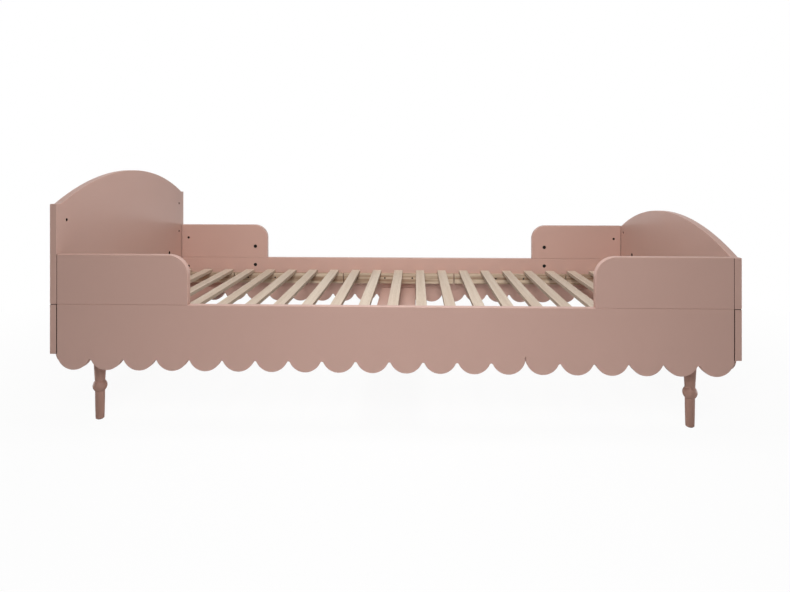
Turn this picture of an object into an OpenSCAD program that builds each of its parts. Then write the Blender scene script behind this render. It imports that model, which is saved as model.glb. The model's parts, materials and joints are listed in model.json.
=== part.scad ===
// Child's bed: a scalloped board frame on turned legs, with arched end panels, four short side
// guards and a slatted base on ledgers.
// X runs along the bed towards the footboard, Y runs across it towards the back, and Z is up.
// The origin is on the floor, under the middle of the bed.

/* [Mattress] */
// Length of the mattress that the bed takes
mattress_l = 2000; // [1400:10:2400]
// Width of the mattress that the bed takes
mattress_w = 900; // [700:10:1200]
// Gap left between the mattress and the boards all round it
mattress_gap = 10; // [2:1:20]

/* [Boards] */
// Thickness of every painted board
board_t = 22; // [18:1:28]
// Height of the side rails' top edge above the floor
rail_top = 371; // [330:1:450]
// Height of a side rail, from its top edge to the lowest point of its scallops
rail_h = 199; // [185:1:240]
// Width of one scallop, from cusp to cusp
scallop_pitch = 101; // [80:1:130]
// Radius that the router leaves in the cusp between two scallops
cusp_r = 5; // [3:0.5:8]
// How far the straight ends of a scalloped edge run below the scallops' widest line
straight_drop = 3; // [1:0.5:8]
// Which cusp of the front rail, counted from the headboard, is a bare saw cut
plain_cusp = 14; // [1:1:19]

/* [End panels] */
// Height of the headboard's shoulders above the rail
head_shoulder = 304; // [240:1:400]
// Height of the footboard's shoulders above the rail
foot_shoulder = 150; // [120:1:220]
// Rise of the arch above the shoulders
arch_rise = 101; // [60:1:140]
// Diameter of the spare bores in the end panels' inner faces
spare_bore_d = 10; // [6:0.5:12]
// Distance from a panel's side edge to a spare bore
spare_bore_inset = 51; // [40:1:70]
// Height of the lower spare bores above the rail
spare_bore_low = 124; // [90:1:140]
// Height of the headboard's upper spare bores above the rail
spare_bore_high = 252; // [200:1:290]

/* [Guards] */
// Height of a side guard
guard_h = 151; // [110:1:220]
// Length of a side guard
guard_l = 402; // [300:1:560]
// Radius of a guard's free upper corner
guard_corner_r = 61; // [20:1:90]

/* [Slatted base] */
// Width of a slat
slat_w = 38; // [28:1:70]
// Thickness of a slat
slat_t = 14; // [10:1:20]
// Gap between an end panel and the nearest slat
slat_end_gap = 11; // [2:1:30]
// Gap between a slat's end and the rail
slat_side_gap = 3; // [1:0.5:8]
// Height of a ledger
ledger_h = 45; // [38:1:60]
// Depth of a ledger, measured across the bed
ledger_w = 22; // [16:1:30]
// Distance from the rail's top edge down to the ledger's top
ledger_drop = 68; // [50:1:75]
// Length of one whole ledger batten
ledger_l = 500; // [400:10:800]
// Gap between neighbouring ledger battens
ledger_gap = 4; // [2:0.5:8]
// Gap between the last ledger batten and the end panel
ledger_end_gap = 2; // [1:0.5:6]
// Length under which the last ledger batten is left out
ledger_min = 60; // [40:5:100]

/* [Cross boards] */
// Distance from the rail's top edge down to the cross boards' top
cross_drop = 136; // [126:1:150]
// Length, along the bed, of the cross board at each end
cross_end_w = 202; // [160:1:260]
// Length, along the bed, of the cross board in the middle
cross_mid_w = 155; // [130:1:220]

/* [Legs] */
// Distance from an end panel's inner face to a leg's centre
leg_inset_x = 100; // [70:1:130]
// Distance from a rail's inner face to a leg's centre
leg_inset_y = 39.5; // [36:0.5:80]
// Diameter of a leg where it meets the floor glide
leg_foot_d = 25; // [20:0.5:34]
// Diameter of a leg just below its ball
leg_shaft_d = 28.4; // [22:0.2:36]
// Diameter of the turned ball
leg_ball_d = 42.2; // [36:0.2:60]
// Height of the ball's centre above the floor
leg_ball_z = 104; // [80:1:125]
// Diameter of the leg's neck just above the ball
leg_neck_d = 29.4; // [24:0.2:36]
// Diameter of the leg at its top
leg_top_d = 40; // [36:0.5:56]
// Diameter of the nylon glide under a leg
glide_d = 20; // [14:0.5:24]
// Thickness of the nylon glide
glide_t = 2; // [1:0.5:5]

/* [Fittings] */
// Board left behind a blind bore
bore_skin = 4; // [3:0.5:6]
// Clearance all round a pin, bolt or dowel in its bore
fit_gap = 0.15; // [0.1:0.05:0.3]
// Room left beyond the end of a screw, bolt or dowel in a blind bore
bore_end = 1; // [0.5:0.5:2]
// Diameter of a cam lock's bore
cam_bore_d = 15; // [10:0.5:18]
// Diameter of the steel double-ended cam dowel
cam_dowel_d = 6; // [5:0.5:8]
// Distance from the seam down to the cams in the boards below it
cam_drop = 33; // [24:0.5:40]
// Distance from the seam up to the cams in the guards
cam_rise_guard = 52; // [34:0.5:80]
// Distance from the seam up to the cams in the upper end panels
cam_rise_panel = 38.5; // [30:0.5:60]
// Distance from a guard's free end to its cam
cam_inset_guard = 56; // [40:1:90]
// Distance from an end panel's side edge to its cam
cam_inset_panel = 156; // [110:1:220]
// Diameter of the bolts through the end panels
bolt_d = 5; // [4:0.5:7]
// Diameter of the bolts' flat heads
bolt_head_d = 14; // [11:0.5:18]
// Thickness of the bolts' flat heads
bolt_head_t = 3; // [2:0.5:5]
// Diameter of a barrel nut's bore
barrel_bore_d = 10; // [7.5:0.5:11]
// Distance from a board's end to its barrel nut
barrel_setback = 33; // [26:0.5:40]
// Length of an end bolt beyond its barrel nut's centre
bolt_overrun = 5; // [4:0.5:8]
// Distance from the seam down to the bolt in a rail's end
bolt_drop = 41; // [26:0.5:50]
// Distance from the seam up to the bolt in a guard's end
bolt_rise = 91.5; // [70:0.5:95]
// Diameter of the wooden locating dowels
dowel_d = 8; // [6:0.5:10]
// Length of the wooden locating dowels
dowel_l = 36; // [30:1:44]
// Depth to which a locating dowel stands in an end panel
dowel_in_panel = 14; // [10:1:15]
// Distance from the seam down to the upper dowel in a rail's end
rail_dowel_high = 75; // [62:1:90]
// Distance from the seam down to the lower dowel in a rail's end
rail_dowel_low = 127; // [110:1:135]
// Distance from the seam up to the dowel in a guard's end
guard_dowel_rise = 35; // [24:1:55]
// Distance from an end panel to the upright dowel between a guard and its rail
guard_dowel_inset = 110; // [60:1:180]
// Distance from the bed's centre line to an upright dowel between an end's two panels
panel_dowel_y = 150; // [80:1:250]
// Diameter of the pegs that hold the slats
peg_d = 6; // [5:0.5:8]
// Length of a peg
peg_l = 19; // [14:0.5:22]
// Depth to which a peg stands in its slat
peg_rise = 8; // [5:0.5:9]
// Diameter of the wood screws' shanks
screw_d = 4; // [3:0.5:5]
// Diameter of the wood screws' heads
screw_head_d = 7.6; // [6:0.2:9]
// Thickness of the wood screws' heads
screw_head_t = 2.4; // [1.6:0.2:3]
// Length of a ledger screw
ledger_screw_l = 36; // [28:1:38]
// Length of a plate or bracket screw
short_screw_l = 17; // [12:1:20]
// Spacing of the screws along a ledger
ledger_screw_pitch = 125; // [80:5:160]
// Distance from a ledger's top down to its screws
ledger_screw_drop = 20; // [16:1:30]
// Side of the square steel leg plate
plate_side = 64; // [56:1:70]
// Thickness of the leg plates and brackets
steel_t = 2.5; // [1.5:0.5:3]
// Distance from a leg plate's centre to its screws, along each side
plate_screw_offset = 24; // [21:0.5:26]
// Diameter of the leg plate's threaded boss
boss_d = 13; // [11.5:0.5:16]
// Height of the boss above the plate
boss_h = 7; // [5:0.5:10]
// Clearance all round the boss in the cross board
boss_gap = 1; // [0.5:0.5:2]
// Diameter of the hanger bolt between a leg and its plate
hanger_d = 8; // [6:0.5:10]
// Depth of the hanger bolt in the leg
hanger_depth = 30; // [20:1:40]
// Width of an angle bracket
bracket_w = 20; // [14:1:24]
// Length of each arm of an angle bracket
bracket_arm = 30; // [24:1:34]
// Spacing of the two brackets at each end of a cross board
bracket_spacing = 101; // [90:1:120]

/* [Hidden] */
pink = [0.70, 0.57, 0.53];
pine = [0.80, 0.73, 0.62];
beech = [0.83, 0.71, 0.55];
zinc = [0.72, 0.72, 0.70];
black_steel = [0.15, 0.15, 0.15];
nylon = [0.25, 0.22, 0.21];

slat_count = 21;
function slat_name(i) = str("slat_", i < 10 ? "0" : "", i);

$fn = 48;
eps = 0.01;

inner_l = mattress_l + 2 * mattress_gap;
inner_w = mattress_w + 2 * mattress_gap;
frame_w = inner_w + 2 * board_t;
mid_y = inner_w / 2 + board_t / 2;

scallop_r = scallop_pitch / 2;
scallop_z = -(rail_h - scallop_r);
straight_h = straight_drop - scallop_z;

ledger_top = rail_top - ledger_drop;
ledger_end = inner_l / 2 - ledger_end_gap;
ledger_step = ledger_l + ledger_gap;
ledger_last = floor((ledger_end - ledger_l / 2 - ledger_gap - ledger_min) / ledger_step) + 1;

slat_pitch = (inner_l - slat_w - 2 * slat_end_gap) / (slat_count - 1);
slat_l = inner_w - 2 * slat_side_gap;

cross_top = rail_top - cross_drop;
cross_bottom = cross_top - board_t;
cross_end_x = inner_l / 2 - cross_end_w / 2;

leg_x = inner_l / 2 - leg_inset_x;
leg_y = inner_w / 2 - leg_inset_y;
leg_top = cross_bottom - steel_t;

guard_x = inner_l / 2 - guard_l;
bore_depth = board_t - bore_skin;
nut_l = 2 * (board_t / 2 - bore_skin) - 2 * fit_gap;
rail_dowel_drops = [rail_dowel_high, rail_dowel_low];
bolt_bore_d = bolt_d + 2 * fit_gap;
cam_dowel_bore_d = cam_dowel_d + 2 * fit_gap;
dowel_bore_d = dowel_d + 2 * fit_gap;
pilot_d = screw_d + 2 * fit_gap;
saw_cut = 1.4;

// ---- Placement helpers: everything is drawn at the foot end and the back side, then mirrored ----

module facing(sx, sy) {
    mirror([sx < 0 ? 1 : 0, 0, 0]) mirror([0, sy < 0 ? 1 : 0, 0]) children();
}

module four_corners() {
    for (sx = [-1, 1], sy = [-1, 1]) facing(sx, sy) children();
}

module along_x(d, l) {
    rotate([0, 90, 0]) cylinder(d = d, h = l);
}

module along_y(d, l) {
    rotate([-90, 0, 0]) cylinder(d = d, h = l);
}

// ---- Board outlines, drawn with the seam at y = 0 ----

// The filling between two scallops, whose underside is the round that the router leaves
module cusp_filling() {
    centre_drop = sqrt(pow(scallop_r + cusp_r, 2) - pow(scallop_r, 2));
    share = scallop_r / (scallop_r + cusp_r);
    difference() {
        polygon([[0, 1], [-scallop_r * (1 - share), -centre_drop * share],
            [scallop_r * (1 - share), -centre_drop * share]]);
        translate([0, -centre_drop]) circle(cusp_r);
    }
}

// A board hanging from the seam, scalloped along its lower edge; bare_cusp stays unfilled
module scalloped_outline(length, bare_cusp = 0) {
    count = floor(length / scallop_pitch + eps);
    run = count * scallop_pitch;
    margin = (length - run) / 2;
    straight_l = margin > eps ? margin + scallop_r / 2 : 0;
    left_foot = straight_l == 0 ? [[-length / 2, scallop_z]]
        : [[-length / 2, -straight_h], [straight_l - length / 2, -straight_h],
            [straight_l - length / 2, scallop_z]];
    right_foot = [for (i = [len(left_foot) - 1:-1:0]) [-left_foot[i][0], left_foot[i][1]]];
    difference() {
        union() {
            polygon(concat([[-length / 2, 0]], left_foot, right_foot, [[length / 2, 0]]));
            for (i = [0:count - 1])
                translate([(i - (count - 1) / 2) * scallop_pitch, scallop_z]) circle(scallop_r, $fn = 96);
            for (i = [1:count - 1])
                if (i != bare_cusp) translate([i * scallop_pitch - run / 2, scallop_z]) cusp_filling();
        }
        if (bare_cusp > 0)
            translate([bare_cusp * scallop_pitch - run / 2 - saw_cut / 2, scallop_z - scallop_r])
                square([saw_cut, scallop_r + 2]);
    }
}

// A board standing on the seam, with square shoulders and an arched top
module arched_outline(shoulder) {
    half_chord = inner_w / 2;
    arch_r = (half_chord * half_chord + arch_rise * arch_rise) / (2 * arch_rise);
    translate([-frame_w / 2, 0]) square([frame_w, shoulder]);
    intersection() {
        translate([-half_chord, shoulder - 1]) square([inner_w, arch_rise + 2]);
        translate([0, shoulder + arch_rise - arch_r]) circle(arch_r, $fn = 360);
    }
}

// ---- Bores that the fittings need, at the foot end and the back side ----

// Origin on the seam; the cam lies at the given height, and its dowel comes up or down to it
module cam_bore(rise) {
    translate([0, -board_t / 2, rise]) along_y(cam_bore_d, bore_depth);
    translate([0, 0, min(0, rise)]) cylinder(d = cam_dowel_bore_d, h = abs(rise));
}

// Origin at a board's end face, on its centre plane; the bolt comes in along +X
module bolt_bore() {
    bore_l = barrel_setback + bolt_overrun + bore_end;
    translate([-bore_l, 0, 0]) along_x(bolt_bore_d, bore_l + eps);
    translate([-barrel_setback, -board_t / 2, 0]) along_y(barrel_bore_d, bore_depth);
}

module panel_bolt_bore() {
    translate([-eps, 0, 0]) along_x(bolt_bore_d, board_t + 2 * eps);
    translate([board_t - bolt_head_t - fit_gap, 0, 0]) along_x(bolt_head_d + 2 * fit_gap, board_t);
}

module panel_dowel_bore() {
    translate([-eps, 0, 0]) along_x(dowel_bore_d, dowel_in_panel + bore_end);
}

module board_dowel_bore() {
    depth = dowel_l - dowel_in_panel + bore_end;
    translate([-depth, 0, 0]) along_x(dowel_bore_d, depth + eps);
}

module seam_dowel_bore() {
    translate([0, 0, -dowel_l / 2 - bore_end]) cylinder(d = dowel_bore_d, h = dowel_l + 2 * bore_end);
}

// ---- Boards ----

module side_rail(bare_cusp = 0) {
    color(pink) difference() {
        translate([0, frame_w / 2, rail_top]) rotate([90, 0, 0])
            linear_extrude(board_t) scalloped_outline(inner_l, bare_cusp);
        for (sx = [-1, 1]) facing(sx, 1) {
            translate([inner_l / 2, mid_y, rail_top - bolt_drop]) bolt_bore();
            for (drop = rail_dowel_drops)
                translate([inner_l / 2, mid_y, rail_top - drop]) board_dowel_bore();
            translate([guard_x + cam_inset_guard, mid_y, rail_top]) cam_bore(-cam_drop);
            translate([inner_l / 2 - guard_dowel_inset, mid_y, rail_top]) seam_dowel_bore();
        }
        ledger_screw_places() translate([0, -eps, 0])
            along_y(pilot_d, ledger_screw_l - ledger_w + bore_end);
        bracket_places() translate([0, -eps, -steel_t - bracket_arm / 2])
            along_y(pilot_d, short_screw_l - steel_t + bore_end);
    }
}

module guard() {
    color(pink) difference() {
        translate([0, frame_w / 2, rail_top]) rotate([90, 0, 0]) linear_extrude(board_t) difference() {
            translate([guard_x, 0]) square([guard_l, guard_h]);
            translate([guard_x, guard_h - guard_corner_r]) difference() {
                translate([-1, 0]) square([guard_corner_r + 1, guard_corner_r + 1]);
                translate([guard_corner_r, 0]) circle(guard_corner_r, $fn = 96);
            }
        }
        translate([guard_x + cam_inset_guard, mid_y, rail_top]) cam_bore(cam_rise_guard);
        translate([inner_l / 2, mid_y, rail_top + bolt_rise]) bolt_bore();
        translate([inner_l / 2, mid_y, rail_top + guard_dowel_rise]) board_dowel_bore();
        translate([inner_l / 2 - guard_dowel_inset, mid_y, rail_top]) seam_dowel_bore();
    }
}

// Turns a cutter made for a rail, whose inner face looks at -Y, to an end panel's inner face
module panel_cam_bore(rise) {
    for (s = [-1, 1])
        translate([inner_l / 2 + board_t / 2, s * (frame_w / 2 - cam_inset_panel), rail_top])
            rotate([0, 0, -90]) cam_bore(rise);
}

module panel_seam_bores() {
    for (s = [-1, 1])
        translate([inner_l / 2 + board_t / 2, s * panel_dowel_y, rail_top]) seam_dowel_bore();
}

module spare_bores(height) {
    for (s = [-1, 1])
        translate([inner_l / 2 - eps, s * (frame_w / 2 - spare_bore_inset), rail_top + height])
            along_x(spare_bore_d, bore_depth);
}

module lower_panel() {
    color(pink) difference() {
        translate([inner_l / 2, 0, rail_top]) rotate([90, 0, 90])
            linear_extrude(board_t) scalloped_outline(frame_w);
        for (sy = [-1, 1]) {
            translate([inner_l / 2, sy * mid_y, rail_top - bolt_drop]) panel_bolt_bore();
            for (drop = rail_dowel_drops)
                translate([inner_l / 2, sy * mid_y, rail_top - drop]) panel_dowel_bore();
        }
        panel_cam_bore(-cam_drop);
        panel_seam_bores();
    }
}

module upper_panel(shoulder, spare_heights) {
    color(pink) difference() {
        translate([inner_l / 2, 0, rail_top]) rotate([90, 0, 90])
            linear_extrude(board_t) arched_outline(shoulder);
        for (sy = [-1, 1]) {
            translate([inner_l / 2, sy * mid_y, rail_top + bolt_rise]) panel_bolt_bore();
            translate([inner_l / 2, sy * mid_y, rail_top + guard_dowel_rise]) panel_dowel_bore();
        }
        panel_cam_bore(cam_rise_panel);
        panel_seam_bores();
        for (height = spare_heights) spare_bores(height);
    }
}

// ---- Slatted base ----

function ledger_from(k) = k == -ledger_last ? -ledger_end : k * ledger_step - ledger_l / 2;
function ledger_to(k) = k == ledger_last ? ledger_end : k * ledger_step + ledger_l / 2;

// Children stand on the rail's inner face, at each screw along the ledgers
module ledger_screw_places() {
    for (k = [-ledger_last:ledger_last]) {
        length = ledger_to(k) - ledger_from(k);
        count = max(1, round(length / ledger_screw_pitch));
        for (j = [0:count - 1])
            translate([ledger_from(k) + length / 2 + (j - (count - 1) / 2) * ledger_screw_pitch,
                inner_w / 2, ledger_top - ledger_screw_drop]) children();
    }
}

// Children stand on the ledger's top, under each slat
module slat_places() {
    for (i = [1:slat_count])
        translate([(i - (slat_count + 1) / 2) * slat_pitch, inner_w / 2 - ledger_w / 2, ledger_top])
            children();
}

module peg_bore() {
    translate([0, 0, peg_rise - peg_l - bore_end])
        cylinder(d = peg_d + 2 * fit_gap, h = peg_l + 2 * bore_end);
}

module ledgers() {
    color(pine) difference() {
        for (k = [-ledger_last:ledger_last])
            translate([ledger_from(k), inner_w / 2 - ledger_w, ledger_top - ledger_h])
                cube([ledger_to(k) - ledger_from(k), ledger_w, ledger_h]);
        ledger_screw_places() translate([0, -ledger_w - eps, 0]) {
            along_y(pilot_d, ledger_w + 2 * eps);
            along_y(screw_head_d + 2 * fit_gap, screw_head_t);
        }
        slat_places() peg_bore();
    }
}

module slat(i) {
    color(pine) difference() {
        translate([(i - (slat_count + 1) / 2) * slat_pitch - slat_w / 2, -slat_l / 2, ledger_top])
            cube([slat_w, slat_l, slat_t]);
        for (sy = [-1, 1]) facing(1, sy)
            translate([(i - (slat_count + 1) / 2) * slat_pitch, inner_w / 2 - ledger_w / 2, ledger_top])
                peg_bore();
    }
}

// ---- Cross boards and legs ----

// Children stand on the rail's inner face, at the underside of each cross board
module bracket_places() {
    for (x = [-cross_end_x, 0, cross_end_x], s = [-1, 1])
        translate([x + s * bracket_spacing / 2, inner_w / 2, cross_bottom]) children();
}

module bracket_board_bores() {
    for (sy = [-1, 1]) facing(1, sy) bracket_places()
        translate([0, -steel_t - bracket_arm / 2, -eps])
            cylinder(d = pilot_d, h = short_screw_l - steel_t + bore_end);
}

module plate_screw_places() {
    for (x = [-1, 1], y = [-1, 1]) translate([x * plate_screw_offset, y * plate_screw_offset, 0]) children();
}

module end_cross_board() {
    color(pink) difference() {
        translate([inner_l / 2 - cross_end_w, -inner_w / 2, cross_bottom])
            cube([cross_end_w, inner_w, board_t]);
        bracket_board_bores();
        for (sy = [-1, 1]) translate([leg_x, sy * leg_y, cross_bottom]) {
            translate([0, 0, -eps]) cylinder(d = boss_d + 2 * boss_gap, h = boss_h + 2 * boss_gap);
            plate_screw_places() translate([0, 0, -eps])
                cylinder(d = pilot_d, h = short_screw_l - steel_t + bore_end);
        }
    }
}

module middle_cross_board() {
    color(pink) difference() {
        translate([-cross_mid_w / 2, -inner_w / 2, cross_bottom]) cube([cross_mid_w, inner_w, board_t]);
        bracket_board_bores();
    }
}

// The leg's shaft swells a little on its way up from the foot to the ball
function shaft_r(z) = leg_shaft_d / 2 - (leg_shaft_d - leg_foot_d) / 2 * pow(1 - z / leg_ball_z, 2.2);

module leg() {
    ball_r = leg_ball_d / 2;
    neck_z = leg_ball_z + sqrt(ball_r * ball_r - leg_neck_d * leg_neck_d / 4);
    steps = 8;
    color(pink) difference() {
        translate([leg_x, leg_y, 0]) union() {
            rotate_extrude() polygon(concat(
                [[0, glide_t], [shaft_r(glide_t) - 1, glide_t]],
                [for (i = [0:steps]) let (z = glide_t + 1 + (leg_ball_z - glide_t - 1) * i / steps)
                    [shaft_r(z), z]],
                [[leg_neck_d / 2, leg_ball_z], [leg_neck_d / 2, neck_z], [leg_top_d / 2, leg_top],
                    [0, leg_top]]));
            translate([0, 0, leg_ball_z]) sphere(d = leg_ball_d);
        }
        translate([leg_x, leg_y, leg_top - hanger_depth])
            cylinder(d = hanger_d + 2 * fit_gap, h = hanger_depth + eps);
    }
}

module glide() {
    color(nylon) translate([leg_x, leg_y, 0]) cylinder(d = glide_d, h = glide_t);
}

module leg_plate() {
    color(zinc) difference() {
        translate([leg_x, leg_y, cross_bottom]) union() {
            translate([-plate_side / 2, -plate_side / 2, -steel_t]) cube([plate_side, plate_side, steel_t]);
            translate([0, 0, -eps]) cylinder(d = boss_d, h = boss_h);
        }
        translate([leg_x, leg_y, leg_top - eps]) {
            cylinder(d = hanger_d + 2 * fit_gap, h = steel_t + boss_h + 2 * eps);
            plate_screw_places() cylinder(d = pilot_d, h = steel_t + 2 * eps);
        }
    }
}

module hanger_bolt() {
    color(zinc) translate([leg_x, leg_y, leg_top - hanger_depth + bore_end])
        cylinder(d = hanger_d, h = hanger_depth + steel_t + boss_h - bore_end);
}

// A pan-head wood screw, driven up along +Z, with its head under z = 0
module pan_screw(length) {
    head_r = screw_head_d / 2;
    round_off = 0.8;
    tip_r = 0.3;
    rotate_extrude() polygon([[0, -screw_head_t], [head_r - round_off, -screw_head_t],
        [head_r, round_off - screw_head_t], [head_r, 0], [screw_d / 2, 0],
        [screw_d / 2, length - screw_d], [tip_r, length], [0, length]]);
}

module plate_screws() {
    color(zinc) translate([leg_x, leg_y, leg_top]) plate_screw_places() pan_screw(short_screw_l);
}

module bracket() {
    difference() {
        union() {
            translate([-bracket_w / 2, -bracket_arm, -steel_t]) cube([bracket_w, bracket_arm, steel_t]);
            translate([-bracket_w / 2, -steel_t, -bracket_arm]) cube([bracket_w, steel_t, bracket_arm]);
        }
        translate([0, -steel_t - bracket_arm / 2, -steel_t - eps])
            cylinder(d = pilot_d, h = steel_t + 2 * eps);
        translate([0, -steel_t - eps, -steel_t - bracket_arm / 2])
            along_y(pilot_d, steel_t + 2 * eps);
    }
}

module side_brackets() {
    color(zinc) bracket_places() bracket();
}

module side_bracket_screws() {
    color(zinc) bracket_places() {
        translate([0, -steel_t - bracket_arm / 2, -steel_t]) pan_screw(short_screw_l);
        translate([0, -steel_t, -steel_t - bracket_arm / 2]) rotate([-90, 0, 0]) pan_screw(short_screw_l);
    }
}

// ---- Fittings between the boards ----

// A bolt with a flat head and a hexagon socket; its origin is on the end panel's inner face
module end_bolt() {
    shank_l = barrel_setback + bolt_overrun;
    socket_d = 0.8 * bolt_d;
    socket_floor = bolt_head_t / 3;
    difference() {
        union() {
            translate([-shank_l, 0, 0]) along_x(bolt_d, shank_l + board_t - bolt_head_t + eps);
            translate([board_t - bolt_head_t, 0, 0]) along_x(bolt_head_d, bolt_head_t);
        }
        translate([board_t - bolt_head_t + socket_floor, 0, 0]) rotate([0, 90, 0])
            cylinder(d = socket_d, h = bolt_head_t, $fn = 6);
    }
}

module corner_bolts() {
    color(zinc) for (z = [-bolt_drop, bolt_rise])
        translate([inner_l / 2, mid_y, rail_top + z]) end_bolt();
}

// A steel cylinder on the board's centre plane, tapped across for the bolt, with a screwdriver slot
module barrel_nut() {
    slot = [barrel_bore_d - 2, 1, 1.2];
    difference() {
        translate([0, -nut_l / 2, 0]) along_y(barrel_bore_d - 2 * fit_gap, nut_l);
        translate([-barrel_bore_d, 0, 0]) along_x(bolt_bore_d, 2 * barrel_bore_d);
        translate([-slot[0] / 2, -nut_l / 2 - eps, -slot[2] / 2]) cube(slot);
    }
}

module corner_barrel_nuts() {
    color(zinc) for (z = [-bolt_drop, bolt_rise])
        translate([inner_l / 2 - barrel_setback, mid_y, rail_top + z]) barrel_nut();
}

// A cam on the board's centre plane, gripping a dowel that comes from the seam below (side -1) or above
module cam(side) {
    slot = [cam_bore_d - 4, 2.5, 1.6];
    difference() {
        translate([0, -nut_l / 2, 0]) along_y(cam_bore_d - 2 * fit_gap, nut_l);
        translate([0, 0, side < 0 ? -cam_bore_d : 0]) cylinder(d = cam_dowel_bore_d, h = cam_bore_d);
        for (turn = [0, 90]) rotate([0, turn, 0])
            translate([-slot[0] / 2, -nut_l / 2 - eps, -slot[2] / 2]) cube(slot);
    }
}

module corner_cams() {
    color(black_steel) {
        translate([guard_x + cam_inset_guard, mid_y, rail_top - cam_drop]) cam(1);
        translate([guard_x + cam_inset_guard, mid_y, rail_top + cam_rise_guard]) cam(-1);
        translate([inner_l / 2 + board_t / 2, frame_w / 2 - cam_inset_panel, rail_top]) rotate([0, 0, -90]) {
            translate([0, 0, -cam_drop]) cam(1);
            translate([0, 0, cam_rise_panel]) cam(-1);
        }
    }
}

// A steel rod whose two heads, beyond their necks, lie in the cams below and above the seam
module cam_dowel(rise) {
    r = cam_dowel_d / 2;
    neck_r = r - 1;
    neck_l = cam_bore_d / 3;
    head_t = 2;
    low = bore_end - cam_drop;
    high = rise - bore_end;
    rotate_extrude() polygon([[0, low], [r, low], [r, low + head_t], [neck_r, low + head_t],
        [neck_r, low + head_t + neck_l], [r, low + head_t + neck_l + 1],
        [r, high - head_t - neck_l - 1], [neck_r, high - head_t - neck_l], [neck_r, high - head_t],
        [r, high - head_t], [r, high], [0, high]]);
}

module corner_cam_dowels() {
    color(zinc) {
        translate([guard_x + cam_inset_guard, mid_y, rail_top]) cam_dowel(cam_rise_guard);
        translate([inner_l / 2 + board_t / 2, frame_w / 2 - cam_inset_panel, rail_top])
            cam_dowel(cam_rise_panel);
    }
}

// A chamfered wooden dowel, standing on z = 0
module wood_dowel(d, l) {
    rotate_extrude() polygon([[0, 0], [d / 2 - 1, 0], [d / 2, 1], [d / 2, l - 1], [d / 2 - 1, l], [0, l]]);
}

module corner_dowels() {
    color(beech) {
        for (z = concat([guard_dowel_rise], [for (drop = rail_dowel_drops) -drop]))
            translate([inner_l / 2 + dowel_in_panel, mid_y, rail_top + z]) rotate([0, -90, 0])
                wood_dowel(dowel_d, dowel_l);
        translate([inner_l / 2 - guard_dowel_inset, mid_y, rail_top - dowel_l / 2])
            wood_dowel(dowel_d, dowel_l);
        translate([inner_l / 2 + board_t / 2, panel_dowel_y, rail_top - dowel_l / 2])
            wood_dowel(dowel_d, dowel_l);
    }
}

module side_pegs() {
    color(beech) slat_places() translate([0, 0, peg_rise - peg_l]) wood_dowel(peg_d, peg_l);
}

module side_ledger_screws() {
    color(black_steel) ledger_screw_places() translate([0, -ledger_w, 0]) rotate([-90, 0, 0])
        translate([0, 0, screw_head_t]) pan_screw(ledger_screw_l - screw_head_t);
}

// ---- The bed ----

facing(-1, 1) upper_panel(head_shoulder, [spare_bore_low, spare_bore_high]);  // headboard_upper_panel
facing(-1, 1) lower_panel();  // headboard_lower_panel
upper_panel(foot_shoulder, [spare_bore_low]);  // footboard_upper_panel
lower_panel();  // footboard_lower_panel
facing(1, -1) side_rail(plain_cusp);  // front_side_rail
side_rail();  // back_side_rail
facing(-1, -1) guard();  // front_head_guard
facing(1, -1) guard();  // front_foot_guard
facing(-1, 1) guard();  // back_head_guard
guard();  // back_foot_guard
facing(1, -1) ledgers();  // front_ledgers
ledgers();  // back_ledgers
facing(-1, 1) end_cross_board();  // head_cross_board
middle_cross_board();
end_cross_board();  // foot_cross_board
facing(-1, -1) leg();  // front_head_leg
facing(1, -1) leg();  // front_foot_leg
facing(-1, 1) leg();  // back_head_leg
leg();  // back_foot_leg
four_corners() glide();  // leg_glides
four_corners() leg_plate();  // leg_plates
four_corners() hanger_bolt();  // leg_hanger_bolts
four_corners() plate_screws();  // leg_plate_screws
for (sy = [-1, 1]) facing(1, sy) side_brackets();  // angle_brackets
for (sy = [-1, 1]) facing(1, sy) side_bracket_screws();  // bracket_screws
four_corners() corner_bolts();  // end_bolts
four_corners() corner_barrel_nuts();  // barrel_nuts
four_corners() corner_cams();  // cam_locks
four_corners() corner_cam_dowels();  // cam_dowels
four_corners() corner_dowels();  // locating_dowels
for (sy = [-1, 1]) facing(1, sy) side_pegs();  // slat_pegs
for (sy = [-1, 1]) facing(1, sy) side_ledger_screws();  // ledger_screws
for (i = [1:slat_count])
    slat(i);
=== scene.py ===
"""A child's bed in painted board on turned legs, dressed in the order in which it is put together.

X runs along the bed towards the footboard, Y runs across it towards the back, and Z is up. Lengths are in
metres. Every piece stands where the CAD frame has it, so places and sizes are read from the frame's boxes.
"""

import json
import math

import bmesh
import bpy
from mathutils import Matrix, Vector


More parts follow.
